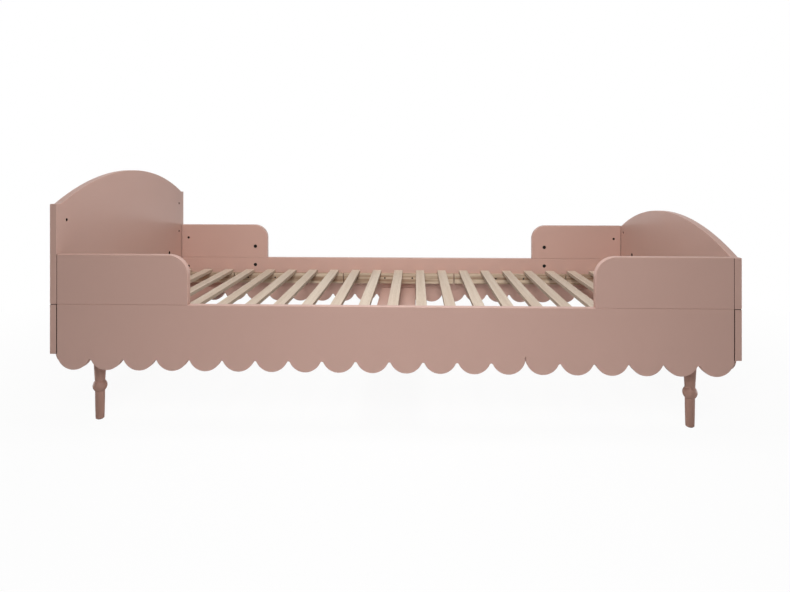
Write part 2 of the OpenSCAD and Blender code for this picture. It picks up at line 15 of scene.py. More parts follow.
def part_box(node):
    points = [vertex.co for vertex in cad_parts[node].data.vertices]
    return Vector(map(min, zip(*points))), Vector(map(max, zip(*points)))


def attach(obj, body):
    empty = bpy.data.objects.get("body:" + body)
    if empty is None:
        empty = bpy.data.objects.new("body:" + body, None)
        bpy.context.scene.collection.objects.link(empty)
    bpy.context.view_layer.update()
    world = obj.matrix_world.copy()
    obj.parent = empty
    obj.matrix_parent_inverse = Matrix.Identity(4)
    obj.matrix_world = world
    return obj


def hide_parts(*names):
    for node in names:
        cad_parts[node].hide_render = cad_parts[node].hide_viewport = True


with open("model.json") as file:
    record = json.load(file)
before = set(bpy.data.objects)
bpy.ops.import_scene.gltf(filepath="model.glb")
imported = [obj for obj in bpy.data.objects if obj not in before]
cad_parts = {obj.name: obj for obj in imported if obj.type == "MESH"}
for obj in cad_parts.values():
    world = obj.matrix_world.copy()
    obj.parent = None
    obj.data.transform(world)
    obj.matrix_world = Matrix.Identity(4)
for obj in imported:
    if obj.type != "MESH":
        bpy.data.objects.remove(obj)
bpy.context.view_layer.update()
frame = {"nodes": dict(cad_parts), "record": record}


# ---- Side rails ----
# Two long boards, 22 mm thick, with a scalloped lower edge: sawn to a line, routed and painted in satin dusty
# pink. Their edges are eased all round, and their inner faces are bored for the cams and nuts that hold the
# guards and the end panels. One cusp of the front rail kept its bare saw cut.

MM = 0.001
EASE, EASE_STEPS = 2 * MM, 3  # a painted board's eased edges
EASED_FROM = 35  # degrees by which two faces differ at an edge that is eased
SHARP_FROM = 50  # degrees by which two faces differ at an edge that looks sharp
SCALLOP_PITCH = 101 * MM
CUSP_RADIUS = 5 * MM
LOBE_STEPS, CUSP_STEPS = 20, 8
SHORT_LOBE = 0.01  # share of a lobe that a length may lack of a whole number of lobes
END_POINTS = 2  # points of an outline before its lobes, and after them
BARE_CUSP = 14
SAW_CUT = 1.4 * MM
SAW_RISE = 1.3 * MM  # how far the cut runs above the scallops' line of centres
BORE_SKIN = 4 * MM
BORE_CORNERS = 40
FIT_GAP = 0.5 * MM
# The dark lines between boards are grooves whose walls are coloured near-black, as painted shade.
JOINT_DEPTH = 6 * MM  # how deep the dark lines between boards reach
CORNER_GAP = 2.2 * MM
WELD = 0.02 * MM  # points nearer than this are one
CAD_WELD = 0.005 * MM
PINK, PINK_SHADE = (0.58, 0.37, 0.312, 1), (0.545, 0.342, 0.285, 1)
GLOSS_RANGE = 0.12
# Bare board where painted board is cut, coloured near-black as painted shade in the bores and grooves.
PAINTED_SHADE_BROWN, PAINTED_SHADE_PALER = (0.006, 0.004, 0.003, 1), (0.012, 0.008, 0.006, 1)


def new_tree(name, kind, inputs, outputs):
    """A node group; inputs are given by their first values or their types, and outputs by their types."""
    kinds = {float: "NodeSocketFloat", int: "NodeSocketInt", tuple: "NodeSocketColor"}
    tree = bpy.data.node_groups.new(name, kind)
    for label, value in inputs.items():
        valued = kinds.get(type(value))
        socket = tree.interface.new_socket(label, in_out="INPUT", socket_type=valued or value)
        if valued:
            socket.default_value = value
    for label, socket_type in outputs.items():
        tree.interface.new_socket(label, in_out="OUTPUT", socket_type=socket_type)
    return tree, tree.nodes.new("NodeGroupInput").outputs, tree.nodes.new("NodeGroupOutput").inputs


def add(tree, kind, inputs=None, **settings):
    """A node whose inputs, by name or number, are linked to a socket or set to a value."""
    node = tree.nodes.new(kind)
    for key, value in settings.items():
        setattr(node, key, value)
    for key, value in (inputs or {}).items():
        if isinstance(value, Field):
            value = value.socket
        if isinstance(value, bpy.types.NodeSocket):
            tree.links.new(value, node.inputs[key])
        else:
            node.inputs[key].default_value = value
    return node


class Field:
    """A number in a node tree: arithmetic on it adds Math nodes, so that a rule reads as a formula."""

    def __init__(self, tree, socket):
        self.tree, self.socket = tree, socket

    def math(self, operation, *others):
        node = add(self.tree, "ShaderNodeMath", dict(enumerate((self, *others))), operation=operation)
        return Field(self.tree, node.outputs[0])

    def __rsub__(self, other):
        return self * -1 + other

    def equals(self, other):
        return self.math("COMPARE", other, 0.5)

    def remapped(self, *levels):
        """The number, taken from between two levels to between two others, or to between 0 and 1."""
        node = add(self.tree, "ShaderNodeMapRange", dict(enumerate((self, *levels))))
        return Field(self.tree, node.outputs[0])


def field_method(operation):
    """A method of Field that adds one kind of Math node."""
    return lambda field, *others: field.math(operation, *others)


for name, operation in {
        "__add__": "ADD", "__sub__": "SUBTRACT", "__mul__": "MULTIPLY", "__truediv__": "DIVIDE",
        "__lt__": "LESS_THAN", "__gt__": "GREATER_THAN", "at_least": "MAXIMUM", "at_most": "MINIMUM",
        "floor": "FLOOR", "unsigned": "ABSOLUTE", "power": "POWER", "root": "SQRT", "sin": "SINE",
        "cos": "COSINE", "arcsin": "ARCSINE", "arccos": "ARCCOSINE"}.items():
    setattr(Field, name, field_method(operation))


def fields(tree, given):
    """The numbers among a node group's inputs."""
    return [Field(tree, socket) for socket in given if socket.type in ("VALUE", "INT")]


def choose(test, chosen, otherwise):
    """chosen where the test is 1, and otherwise where it is 0."""
    return (chosen - otherwise) * test + otherwise


def shape_tree(name, inputs):
    """A Geometry Nodes tree for a shape, with the shape's material as its last input."""
    return new_tree(name, "GeometryNodeTree", {**inputs, "Material": "NodeSocketMaterial"}, {
        "Geometry": "NodeSocketGeometry"})


def end_shape(tree, shape, given, result):
    """Ends a shape's tree with real geometry in the shape's material."""
    real = add(tree, "GeometryNodeRealizeInstances", {"Geometry": shape.outputs[0]})
    coated = add(tree, "GeometryNodeSetMaterial", {
        "Geometry": real.outputs[0], "Material": given["Material"]})
    tree.links.new(coated.outputs[0], result[0])
    return tree


def scalloped_board_tree():
    """A flat board hung from y = 0, whose lower edge is a row of round lobes parted by routed cusps."""
    tree, given, result = shape_tree("scalloped_board", {
        "Length": 2.0, "Height": 0.2, "Thickness": 0.02, "Pitch": 0.1, "Cusp radius": 0.005,
        "Straight drop": 0.0, "Bare cusp": 0, "Saw cut": 0.001, "Saw rise": 0.001})
    length, height, thickness, pitch, cusp_radius, straight_drop, bare_cusp, saw_cut, saw_rise = fields(
        tree, given)
    radius = pitch / 2
    lobes = (length / pitch + SHORT_LOBE).floor()
    centre_y = radius - height
    touch = (radius / (radius + cusp_radius)).arccos()
    slit = (1 - saw_cut / pitch).arccos()
    edge = (straight_drop / radius).arcsin()

    # The outline's points are numbered from the first lobe's first point, so the left end's come before 0.
    period = LOBE_STEPS + CUSP_STEPS
    count = (lobes - 1) * period + (LOBE_STEPS + 1)
    index = Field(tree, add(tree, "GeometryNodeInputIndex").outputs[0]) - END_POINTS
    lobe = (index / period).floor()
    step = index - lobe * period

    left = choose(lobe.equals(0), edge, choose(lobe.equals(bare_cusp), slit, touch))
    right = choose(lobe.equals(lobes - 1), edge, choose((lobe + 1).equals(bare_cusp), slit, touch))
    angle = left + (math.pi - left - right) * step / LOBE_STEPS
    lobe_x = (lobe - (lobes - 1) / 2) * pitch - radius * angle.cos()
    lobe_y = centre_y - radius * angle.sin()

    bare = (lobe + 1).equals(bare_cusp)
    share = (step - LOBE_STEPS) / CUSP_STEPS
    routed_turn = math.pi - touch - (math.pi - touch * 2) * share
    sawn_turn = (1 - (share - 1 / CUSP_STEPS) / (1 - 2 / CUSP_STEPS)) * math.pi
    turn = choose(bare, sawn_turn, routed_turn)
    turn_radius = choose(bare, saw_cut / 2, cusp_radius)
    turn_centre_y = choose(bare, centre_y + saw_rise, centre_y - (radius + cusp_radius) * touch.sin())
    cusp_x = (lobe + 1 - lobes / 2) * pitch + turn_radius * turn.cos()
    cusp_y = turn_centre_y + turn_radius * turn.sin()

    in_cusp = step > LOBE_STEPS
    before = index < 0
    after = index > (count - 1)
    at_end = before + after
    at_foot = index.equals(-1) + index.equals(count)
    x = choose(at_end, (after - before) * length / 2, choose(in_cusp, cusp_x, lobe_x))
    y = choose(at_end, (centre_y - straight_drop) * at_foot, choose(in_cusp, cusp_y, lobe_y))

    line = add(tree, "GeometryNodeMeshLine", {"Count": count + 2 * END_POINTS})
    place = add(tree, "ShaderNodeCombineXYZ", {0: x, 1: y})
    bent = add(tree, "GeometryNodeSetPosition", {"Geometry": line.outputs[0], "Position": place.outputs[0]})
    merged = add(tree, "GeometryNodeMergeByDistance", {"Geometry": bent.outputs[0], "Distance": WELD})
    curve = add(tree, "GeometryNodeMeshToCurve", {"Mesh": merged.outputs[0]})
    closed = add(tree, "GeometryNodeSetSplineCyclic", {"Geometry": curve.outputs[0], "Cyclic": True})
    face = add(tree, "GeometryNodeFillCurve", {"Curve": closed.outputs[0]}, mode="NGONS")
    depth = add(tree, "ShaderNodeCombineXYZ", {2: thickness})
    walls = add(tree, "GeometryNodeExtrudeMesh", {
        "Mesh": face.outputs[0], "Offset": depth.outputs[0], "Offset Scale": 1.0, "Individual": False})
    back = add(tree, "GeometryNodeFlipFaces", {"Mesh": face.outputs[0]})
    joined = add(tree, "GeometryNodeJoinGeometry")
    tree.links.new(walls.outputs[0], joined.inputs[0])
    tree.links.new(back.outputs[0], joined.inputs[0])
    solid = add(tree, "GeometryNodeMergeByDistance", {"Geometry": joined.outputs[0], "Distance": WELD})
    return end_shape(tree, solid, given, result)


def piece_from(name, shape, material=None):
    """An object made of a bmesh, with its faces pointing outwards."""
    bmesh.ops.recalc_face_normals(shape, faces=shape.faces)
    mesh = bpy.data.meshes.new(name)
    shape.to_mesh(mesh)
    shape.free()
    if material:
        mesh.materials.append(material)
    piece = bpy.data.objects.new(name, mesh)
    bpy.context.scene.collection.objects.link(piece)
    return piece


def baked(piece):
    """Turns a piece's modifiers into plain mesh and removes them."""
    depsgraph = bpy.context.evaluated_depsgraph_get()
    depsgraph.update()
    mesh = bpy.data.meshes.new_from_object(
        piece.evaluated_get(depsgraph), preserve_all_data_layers=True, depsgraph=depsgraph)
    piece.modifiers.clear()
    piece.data = mesh
    mesh.name = piece.name
    return piece


def face_outwards(piece):
    """Turns every face of a closed piece outwards."""
    shape = bmesh.new()
    shape.from_mesh(piece.data)
    bmesh.ops.recalc_face_normals(shape, faces=shape.faces)
    shape.to_mesh(piece.data)
    shape.free()
    return piece


def grow(piece, tree, values):
    """Runs a Geometry Nodes tree on a piece; values go to the tree's inputs by their names."""
    modifier = piece.modifiers.new(tree.name, "NODES")
    modifier.node_group = tree
    for socket in tree.interface.items_tree:
        if socket.in_out == "INPUT" and socket.name in values:
            modifier[socket.identifier] = values[socket.name]
    return piece


def ease_edges(piece, radius, steps=EASE_STEPS):
    """Rounds the sharp edges."""
    bevel = piece.modifiers.new("eased_edges", "BEVEL")
    bevel.width = radius
    bevel.segments = steps
    bevel.limit_method = "ANGLE"
    bevel.angle_limit = math.radians(EASED_FROM)
    bevel.use_clamp_overlap = False
    return baked(piece)


def carve(piece, cutters):
    """Cuts a bmesh's shapes out of a piece: a painted board is bare there, coloured near-black as painted
    shade, and another piece is as it was.
    """
    material = bare_board if painted_board in piece.data.materials[:] else None
    cutter = piece_from(piece.name + "_cutter", cutters, material)
    cut = piece.modifiers.new("carved", "BOOLEAN")
    cut.object = cutter
    cut.operation = "DIFFERENCE"
    cut.solver = "EXACT"
    cut.material_mode = "TRANSFER" if material else "INDEX"
    baked(piece)
    bpy.data.objects.remove(cutter)
    return piece


def drill(piece, bores, corners=BORE_CORNERS):
    """Cuts round bores, each from a start to an end with a radius."""
    cutters = bmesh.new()
    for start, end, radius in bores:
        start, end = Vector(start), Vector(end)
        turn = (end - start).to_track_quat("Z", "Y").to_matrix().to_4x4()
        bmesh.ops.create_cone(
            cutters, cap_ends=True, segments=corners, radius1=radius, radius2=radius,
            depth=(end - start).length, matrix=Matrix.Translation((start + end) / 2) @ turn)
    return carve(piece, cutters)


def cuboid(shape, size, middle=(0, 0, 0)):
    """Adds a box to a bmesh."""
    bmesh.ops.create_cube(shape, size=1.0, matrix=Matrix.Translation(middle) @ Matrix.Diagonal((*size, 1)))


def groove(piece, *boxes):
    """Cuts narrow grooves into a piece; each is given by its lowest and highest corner."""
    cutters = bmesh.new()
    for low, high in boxes:
        cuboid(cutters, [b - a for a, b in zip(low, high)], [(a + b) / 2 for a, b in zip(low, high)])
    return carve(piece, cutters)


def smooth(piece):
    """Shades rounded stretches smoothly, while flat faces stay flat and sharp corners sharp."""
    piece.data.shade_smooth()
    piece.data.set_sharp_from_angle(angle=math.radians(SHARP_FROM))
    weighted = piece.modifiers.new("flat_faces", "WEIGHTED_NORMAL")
    weighted.keep_sharp = True
    return baked(piece)


def solids_of(node):
    """The lowest and highest corner of each separate solid in a CAD node."""
    copy = bmesh.new()
    copy.from_mesh(frame["nodes"][node].data)
    bmesh.ops.remove_doubles(copy, verts=copy.verts, dist=CAD_WELD)
    boxes, seen = [], set()
    for first in copy.verts:
        if first in seen:
            continue
        seen.add(first)
        group, waiting = [], [first]
        while waiting:
            vert = waiting.pop()
            group.append(vert.co.copy())
            for edge in vert.link_edges:
                other = edge.other_vert(vert)
                if other not in seen:
                    seen.add(other)
                    waiting.append(other)
        boxes.append(tuple(Vector(f(co[i] for co in group) for i in range(3)) for f in (min, max)))
    copy.free()
    return boxes


def turning_axis(size):
    """The axis of a round solid: the one along which its size is unlike the other two."""
    middle = sorted(size)[1]
    return max(range(3), key=lambda i: abs(size[i] - middle))


def inside(low, high, point):
    """Whether a point lies between two corners."""
    return all(a < b < c for a, b, c in zip(low, point, high))


def fitting_bores(board_node, *fittings):
    """The blind bores in a board's inner face for the round fittings of some CAD nodes that lie in it."""
    low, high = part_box(board_node)
    bores = []
    for solid_low, solid_high in [solid for node in fittings for solid in solids_of(node)]:
        middle = (solid_low + solid_high) / 2
        if inside(low, high, middle):
            size = solid_high - solid_low
            axis = turning_axis(size)
            inner, outer = (low, high) if middle[axis] > 0 else (high, low)
            outward = math.copysign(1, middle[axis])
            start, end = middle.copy(), middle.copy()
            start[axis] = inner[axis] - outward * MM
            end[axis] = outer[axis] - outward * BORE_SKIN
            bores.append((start, end, sorted(size)[1] / 2 + FIT_GAP))
    return bores


def corner_gaps(node):
    """The narrow gaps down the inner corners, where the ends of a rail or guard meet the end panels."""
    low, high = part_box(node)
    side = math.copysign(1, low.y)
    inner = high.y if side < 0 else low.y
    across = sorted((inner - side * MM, inner + side * JOINT_DEPTH))
    gaps = []
    for end in (low.x, high.x):
        if abs(end) > max(abs(low.x), abs(high.x)) - MM:
            along = sorted((end - math.copysign(CORNER_GAP, end), end + math.copysign(MM, end)))
            gaps.append(((along[0], across[0], low.z - MM), (along[1], across[1], high.z + MM)))
    return gaps


def join_in(piece, *nodes, slot):
    """Smooths a finished piece, and makes it ride on the bed and stand for its CAD nodes."""
    smooth(piece)
    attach(piece, "root")
    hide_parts(*nodes)


def pattern_tree(name, inputs):
    """A pattern group: it reads a place, and gives the colour, the roughness and the height there."""
    return new_tree(name, "ShaderNodeTree", {"Vector": "NodeSocketVector", **inputs}, {
        "Colour": "NodeSocketColor", "Roughness": "NodeSocketFloat", "Height": "NodeSocketFloat"})


def end_pattern(tree, result, *ends):
    """Ends a pattern group with its colour, its roughness and its height."""
    for socket, end in zip(result, ends):
        tree.links.new(end.socket if isinstance(end, Field) else end, socket)
    return tree


def noise(tree, place, **inputs):
    """A field of noise; its scale, detail and so on are given by name."""
    inputs = {name.capitalize(): value for name, value in inputs.items()}
    return Field(tree, add(tree, "ShaderNodeTexNoise", {"Vector": place, **inputs}).outputs[0])


def mixed(tree, share, first, second):
    """The first colour where share is 0, the second where it is 1, and a mix of both between."""
    return add(tree, "ShaderNodeMix", {0: share, 6: first, 7: second}, data_type="RGBA").outputs[2]


def paint_film_group():
    """Sprayed satin paint: a faint cloudiness of colour, a fine orange peel and an uneven gloss."""
    tree, given, result = pattern_tree("paint_film", {
        "Colour": PINK, "Shade": PINK_SHADE, "Cloudiness": 0.5, "Gloss": 0.45})
    cloud = noise(tree, given["Vector"], scale=3.2, detail=3.0)
    peel = noise(tree, given["Vector"], scale=520.0, detail=2.0, roughness=0.55)
    rub = noise(tree, given["Vector"], scale=11.0, detail=4.0)
    colour = mixed(tree, cloud * given["Cloudiness"], given["Colour"], given["Shade"])
    roughness = rub * GLOSS_RANGE + given["Gloss"] - GLOSS_RANGE / 2
    return end_pattern(tree, result, colour, roughness, peel)


def new_material(name, uniform):
    """A node material, its tree, its Principled shader with some even values, and a place to read."""
    material = bpy.data.materials.new(name)
    material.use_nodes = True
    tree = material.node_tree
    shader = tree.nodes["Principled BSDF"]
    for socket, value in uniform.items():
        shader.inputs[socket].default_value = value
    place = add(tree, "ShaderNodeTexCoord").outputs["Object"]
    return material, tree, shader, place


def patterned(name, group, bump_depth, values, **uniform):
    """A material whose colour, roughness and bump come from a pattern group in the piece's own space.

    values go to the group's inputs, and uniform ones to the shader's own, by their names.
    """
    uniform = {socket.replace("_", " "): value for socket, value in uniform.items()}
    material, tree, shader, place = new_material(name, uniform)
    pattern = add(tree, "ShaderNodeGroup", {"Vector": place, **values}, node_tree=group).outputs
    bump = add(tree, "ShaderNodeBump", {
        "Strength": 1.0, "Distance": bump_depth, "Height": pattern["Height"]})
    tree.links.new(pattern["Colour"], shader.inputs["Base Color"])
    tree.links.new(pattern["Roughness"], shader.inputs["Roughness"])
    tree.links.new(bump.outputs[0], shader.inputs["Normal"])
    return material


paint_film = paint_film_group()
painted_board = patterned("painted_board", paint_film, 0.03 * MM, {})
# The walls of bores and grooves in painted board: bare board coloured near-black, as painted shade.
bare_board = patterned("bare_board", paint_film, 0.1 * MM, {
    "Colour": PAINTED_SHADE_BROWN, "Shade": PAINTED_SHADE_PALER, "Cloudiness": 1.0, "Gloss": 0.9}, Specular_IOR_Level=0.1)
scalloped_board = scalloped_board_tree()


def scalloped_board_piece(node, along, across, straight_drop, bare_cusp=0):
    """A scalloped board along one axis, with its thickness across it, in the place of a CAD node."""
    low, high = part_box(node)
    piece = piece_from(node + "_board", bmesh.new())
    grow(piece, scalloped_board, {
        "Length": high[along] - low[along], "Height": high.z - low.z, "Thickness": high[across] - low[across],
        "Pitch": SCALLOP_PITCH, "Cusp radius": CUSP_RADIUS, "Straight drop": straight_drop,
        "Bare cusp": bare_cusp, "Saw cut": SAW_CUT, "Saw rise": SAW_RISE, "Material": painted_board})
    ease_edges(piece, EASE)
    stand = Matrix.Translation((0, 0, high.z))
    stand.col[0].xyz = [i == along for i in range(3)]
    stand.col[1].xyz = (0, 0, 1)
    stand.col[2].xyz = [i == across for i in range(3)]
    stand.translation[across] = low[across]
    piece.data.transform(stand)
    face_outwards(piece)
    return drill(piece, fitting_bores(node, "cam_locks", "barrel_nuts"))


for node, bare_cusp in (("front_side_rail", BARE_CUSP), ("back_side_rail", 0)):
    rail = scalloped_board_piece(node, 0, 1, 0.0, bare_cusp)
    groove(rail, *corner_gaps(node))
    join_in(rail, node, slot="painted_board")


# ---- End panels ----
# Each end of the bed is two painted boards, one on the other: a scalloped one at rail height, and one with
# square shoulders and an arched top. Flat bolt heads lie flush in their outer faces, and small spare bores in
# their inner faces take accessories.

ARCH_RISE, ARCH_STEPS = 101 * MM, 56
PANEL_STRAIGHT_DROP = 3 * MM
SPARE_BORE_DEPTH = 18 * MM
BOLT_HEAD_RADIUS, BOLT_HEAD_DEPTH = 7.15 * MM, 3.15 * MM
# The walls of these grooves are coloured near-black, as painted shade.
RAIL_JOINT, GUARD_JOINT, SEAM = 1.6 * MM, 0.7 * MM, 1.5 * MM  # widths of the dark lines between boards


def board(shape, facing, outline, near, far):
    """Adds a flat board to a bmesh: an outline in the two other axes, from near to far along one axis."""
    across, up = [i for i in range(3) if i != facing]
    corners = []
    for u, v in outline:
        corner = Vector()
        corner[across], corner[up], corner[facing] = u, v, near
        corners.append(shape.verts.new(corner))
    face = shape.faces.new(corners)
    walls = bmesh.ops.extrude_face_region(shape, geom=[face], use_keep_orig=True)
    depth = Vector()
    depth[facing] = far - near
    moved = [item for item in walls["geom"] if isinstance(item, bmesh.types.BMVert)]
    bmesh.ops.translate(shape, verts=moved, vec=depth)


def eased_board(node, facing, outline, near, far):
    """A painted board in the place of a CAD node."""
    shape = bmesh.new()
    board(shape, facing, outline, near, far)
    return ease_edges(piece_from(node + "_board", shape, painted_board), EASE)


def arc(centre, radius, start, end, steps):
    """Points on an arc, from one angle to another, in degrees."""
    angles = [math.radians(start + (end - start) * i / steps) for i in range(steps + 1)]
    return [(centre[0] + radius * math.cos(a), centre[1] + radius * math.sin(a)) for a in angles]


def stations(node, inward=False):
    """Where each fitting of a CAD node starts, and the turn that aims its own Z the way it is driven.

    Fittings are driven away from the bed's middle and the floor, or, where inward, towards the middle.
    """
    places = []
    for low, high in solids_of(node):
        along = turning_axis(high - low)
        start, drive = (low + high) / 2, Vector()
        drive[along] = math.copysign(1, start[along]) * (-1 if inward else 1)
        start[along] = low[along] if drive[along] > 0 else high[along]
        places.append((start, drive.to_track_quat("Z", "Y").to_euler()))
    return places


def head_bores(board_node, places, radius, depth):
    """The shallow bores that sink the heads of bolts or screws into a board."""
    low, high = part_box(board_node)
    bores = []
    for start, turn in places:
        drive = Vector((0, 0, 1))
        drive.rotate(turn)
        floor = start + drive * depth
        if inside(low, high, floor):
            bores.append((start - drive * MM, floor, radius))
    return bores


def joint_groove(board_node, neighbour, width):
    """The narrow groove in an end panel's inner face, where the end of a rail or guard comes against it."""
    low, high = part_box(board_node)
    near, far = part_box(neighbour)
    inner = high.x if low.x < 0 else low.x
    across = sorted((inner - math.copysign(MM, inner), inner + math.copysign(width, inner)))
    face, inward = (near.y, 1) if near.y < 0 else (far.y, -1)
    along = sorted((face - inward * MM, face + inward * JOINT_DEPTH))
    return (across[0], along[0], near.z - MM), (across[1], along[1], far.z)


def spare_bores(mount_name):
    """The blind bores that a mount of the record gives, in an end panel's inner face."""
    mount = next(m for m in frame["record"]["mounts"] if m["name"] == mount_name)
    x, y, z = mount["pos_m"]
    inward = mount["axis"][0]
    half_y = mount["dims"]["spacing_x_mm"] * MM / 2
    half_z = mount["dims"].get("spacing_y_mm", 0) * MM / 2
    radius = mount["dims"]["hole_r_mm"] * MM
    return [((x + inward * MM, y + side * half_y, z + level),
        (x - inward * SPARE_BORE_DEPTH, y + side * half_y, z + level), radius)
        for side in (-1, 1) for level in sorted({-half_z, half_z})]


bolt_places = stations("end_bolts", inward=True)

for end in ("headboard", "footboard"):
    node = end + "_lower_panel"
    panel = scalloped_board_piece(node, 1, 0, PANEL_STRAIGHT_DROP)
    drill(panel, head_bores(node, bolt_places, BOLT_HEAD_RADIUS, BOLT_HEAD_DEPTH))
    low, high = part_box(node)
    groove(panel, *[(
        (low.x - MM, edge - JOINT_DEPTH, high.z - SEAM), (high.x + MM, edge + JOINT_DEPTH, high.z + MM))
        for edge in (-high.y, high.y)])
    groove(panel, *[joint_groove(node, rail, RAIL_JOINT) for rail in ("front_side_rail", "back_side_rail")])
    join_in(panel, node, slot="painted_board")

    node = end + "_upper_panel"
    low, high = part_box(node)
    chord = high.y - (high.x - low.x)
    shoulder = high.z - ARCH_RISE
    arch_radius = (chord ** 2 + ARCH_RISE ** 2) / (2 * ARCH_RISE)
    half_angle = math.degrees(math.asin(chord / arch_radius))
    arch = arc((0, high.z - arch_radius), arch_radius, 90 - half_angle, 90 + half_angle, ARCH_STEPS)
    outline = [(low.y, low.z), (high.y, low.z), (high.y, shoulder), *arch, (low.y, shoulder)]
    panel = eased_board(node, 0, outline, low.x, high.x)
    bores = fitting_bores(node, "cam_locks") + spare_bores(end + "_spare_bores")
    drill(panel, bores + head_bores(node, bolt_places, BOLT_HEAD_RADIUS, BOLT_HEAD_DEPTH))
    guards = [f"{side}_{end[:4]}_guard" for side in ("front", "back")]
    groove(panel, *[joint_groove(node, guard, GUARD_JOINT) for guard in guards])
    join_in(panel, node, slot="painted_board")


# ---- Guards ----
# Four short painted boards that stand on the rails and keep the child from rolling out. The free upper corner
# of each is rounded, and cams and a bolt hold it to the rail and to the end panel.

GUARD_CORNER, CORNER_STEPS = 61 * MM, 18

for node in ("front_head_guard", "front_foot_guard", "back_head_guard", "back_foot_guard"):
    low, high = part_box(node)
    outline = [(low.x, low.z), (high.x, low.z)]
    top = high.z - GUARD_CORNER
    if low.x > 0:
        outline += [(high.x, high.z), *arc((low.x + GUARD_CORNER, top), GUARD_CORNER, 90, 180, CORNER_STEPS)]
    else:
        outline += [*arc((high.x - GUARD_CORNER, top), GUARD_CORNER, 0, 90, CORNER_STEPS), (low.x, high.z)]
    guard = eased_board(node, 1, outline, low.y, high.y)
    drill(guard, fitting_bores(node, "cam_locks", "barrel_nuts"))
    groove(guard, *corner_gaps(node))
    join_in(guard, node, slot="painted_board")


# ---- Ledgers and their screws ----
# Bare pine battens, screwed in a row to the rails' inner faces, that carry the slats. They are sawn from
# cheaper stock than the slats, browner and with a few knots. Their black screws lie flush in shallow bores.

BATTEN_EASE = 0.8 * MM
THREAD_ROWS = 4  # rows of vertices to each turn of a thread
SCREW_BORE_RADIUS, SCREW_HEAD_DEPTH = 3.95 * MM, 2.4 * MM
RECESS = 3 * MM  # twice the depth of a cross recess
SMALL_BORE_CORNERS = 20
FIBRES, BANDS, KNOTS = (18, 620), (1.6, 75), (5.5, 13)  # how many to a metre, along and across the grain
LEDGER_LIGHT, LEDGER_DARK = (0.7, 0.57, 0.43, 1), (0.25, 0.15, 0.09, 1)
BLACK, BLACK_WORN = (0.006, 0.006, 0.005, 1), (0.014, 0.013, 0.012, 1)


def stretched(tree, place, along, across):
    """A place scaled along X and, by another factor, across it."""
    factors = {0: place, 1: (along, across, across)}
    return add(tree, "ShaderNodeVectorMath", factors, operation="MULTIPLY").outputs[0]


def wood_grain_group():
    """Bare wood whose grain runs along X: growth bands, fine fibres and, where wanted, knots."""
    tree, given, result = pattern_tree("wood_grain", {
        "Light": (0.7, 0.58, 0.45, 1), "Dark": (0.5, 0.36, 0.24, 1), "Knot": (0.16, 0.08, 0.045, 1),
        "Bands": 0.5, "Knots": 0.0, "Tone": 0.0})
    place = given["Vector"]
    fibre = noise(tree, stretched(tree, place, *FIBRES), scale=1.0, detail=4.0, roughness=0.65)
    band = noise(tree, stretched(tree, place, *BANDS), scale=1.0, detail=2.0, roughness=0.5, distortion=0.6)
    knot = add(tree, "ShaderNodeTexVoronoi", {
        "Vector": stretched(tree, place, *KNOTS), "Scale": 1.0, "Randomness": 1.0})
    spot = Field(tree, knot.outputs["Distance"]).remapped(0.05, 0.16, 1.0, 0.0)
    fibre_share = fibre.remapped(0.3, 0.7)
    dark_share = band.remapped(0.36, 0.64) * given["Bands"] + fibre_share * 0.45 + given["Tone"]
    wood = mixed(tree, dark_share, given["Light"], given["Dark"])
    colour = mixed(tree, spot * given["Knots"], wood, given["Knot"])
    return end_pattern(tree, result, colour, fibre_share * 0.15 + 0.62, fibre_share * -1 + 1)


def turned(profile, thread=None, around=24):
    """A bmesh turned about Z from (radius, z) points; a thread cuts a helix between two heights.

    thread is (from z, to z, pitch, depth).
    """
    if thread:
        start, stop, pitch, depth = thread
        rows = math.ceil((stop - start) / pitch * THREAD_ROWS)
        radius = next(r for r, z in reversed(profile) if z <= start)
        before = [point for point in profile if point[1] <= start]
        after = [point for point in profile if point[1] >= stop]
        profile = [*before, *[(radius, start + (stop - start) * i / rows) for i in range(1, rows)], *after]
    shape = bmesh.new()
    rings = []
    for r, z in profile:
        ring = []
        for i in range(around if r > 0 else 1):
            angle = math.tau * i / around
            cut = 0
            if thread and start < z < stop:
                cut = depth * abs(2 * ((z / pitch - i / around) % 1) - 1)
            ring.append(shape.verts.new(((r - cut) * math.cos(angle), (r - cut) * math.sin(angle), z)))
        rings.append(ring)
    for low, high in zip(rings, rings[1:]):
        for i in range(around):
            j = (i + 1) % around
            corners = [low[i % len(low)], low[j % len(low)], high[j % len(high)], high[i % len(high)]]
            shape.faces.new(list(dict.fromkeys(corners)))
    return shape


def copies_tree():
    """Copies of a part on points, each turned as its point says and then spun at random about its axis."""
    tree, given, result = shape_tree("placed_copies", {
        "Geometry": "NodeSocketGeometry", "Part": "NodeSocketObject", "Spin": 0.0, "Seed": 1})
    part = add(tree, "GeometryNodeObjectInfo", {"Object": given["Part"]})
    turn = add(tree, "GeometryNodeInputNamedAttribute", {"Name": "turn"}, data_type="FLOAT_VECTOR")
    aim = add(tree, "FunctionNodeEulerToRotation", {0: turn.outputs[0]})
    chance = add(tree, "FunctionNodeRandomValue", {"Seed": given["Seed"]}, data_type="FLOAT")
    spin = Field(tree, chance.outputs[1]) * given["Spin"]
    about = add(tree, "FunctionNodeAxisAngleToRotation", {"Axis": (0, 0, 1), "Angle": spin})
    both = add(tree, "FunctionNodeRotateRotation", {
        "Rotation": aim.outputs[0], "Rotate By": about.outputs[0]}, rotation_space="LOCAL")
    placed = add(tree, "GeometryNodeInstanceOnPoints", {
        "Points": given["Geometry"], "Instance": part.outputs["Geometry"], "Rotation": both.outputs[0]})
    return end_shape(tree, placed, given, result)


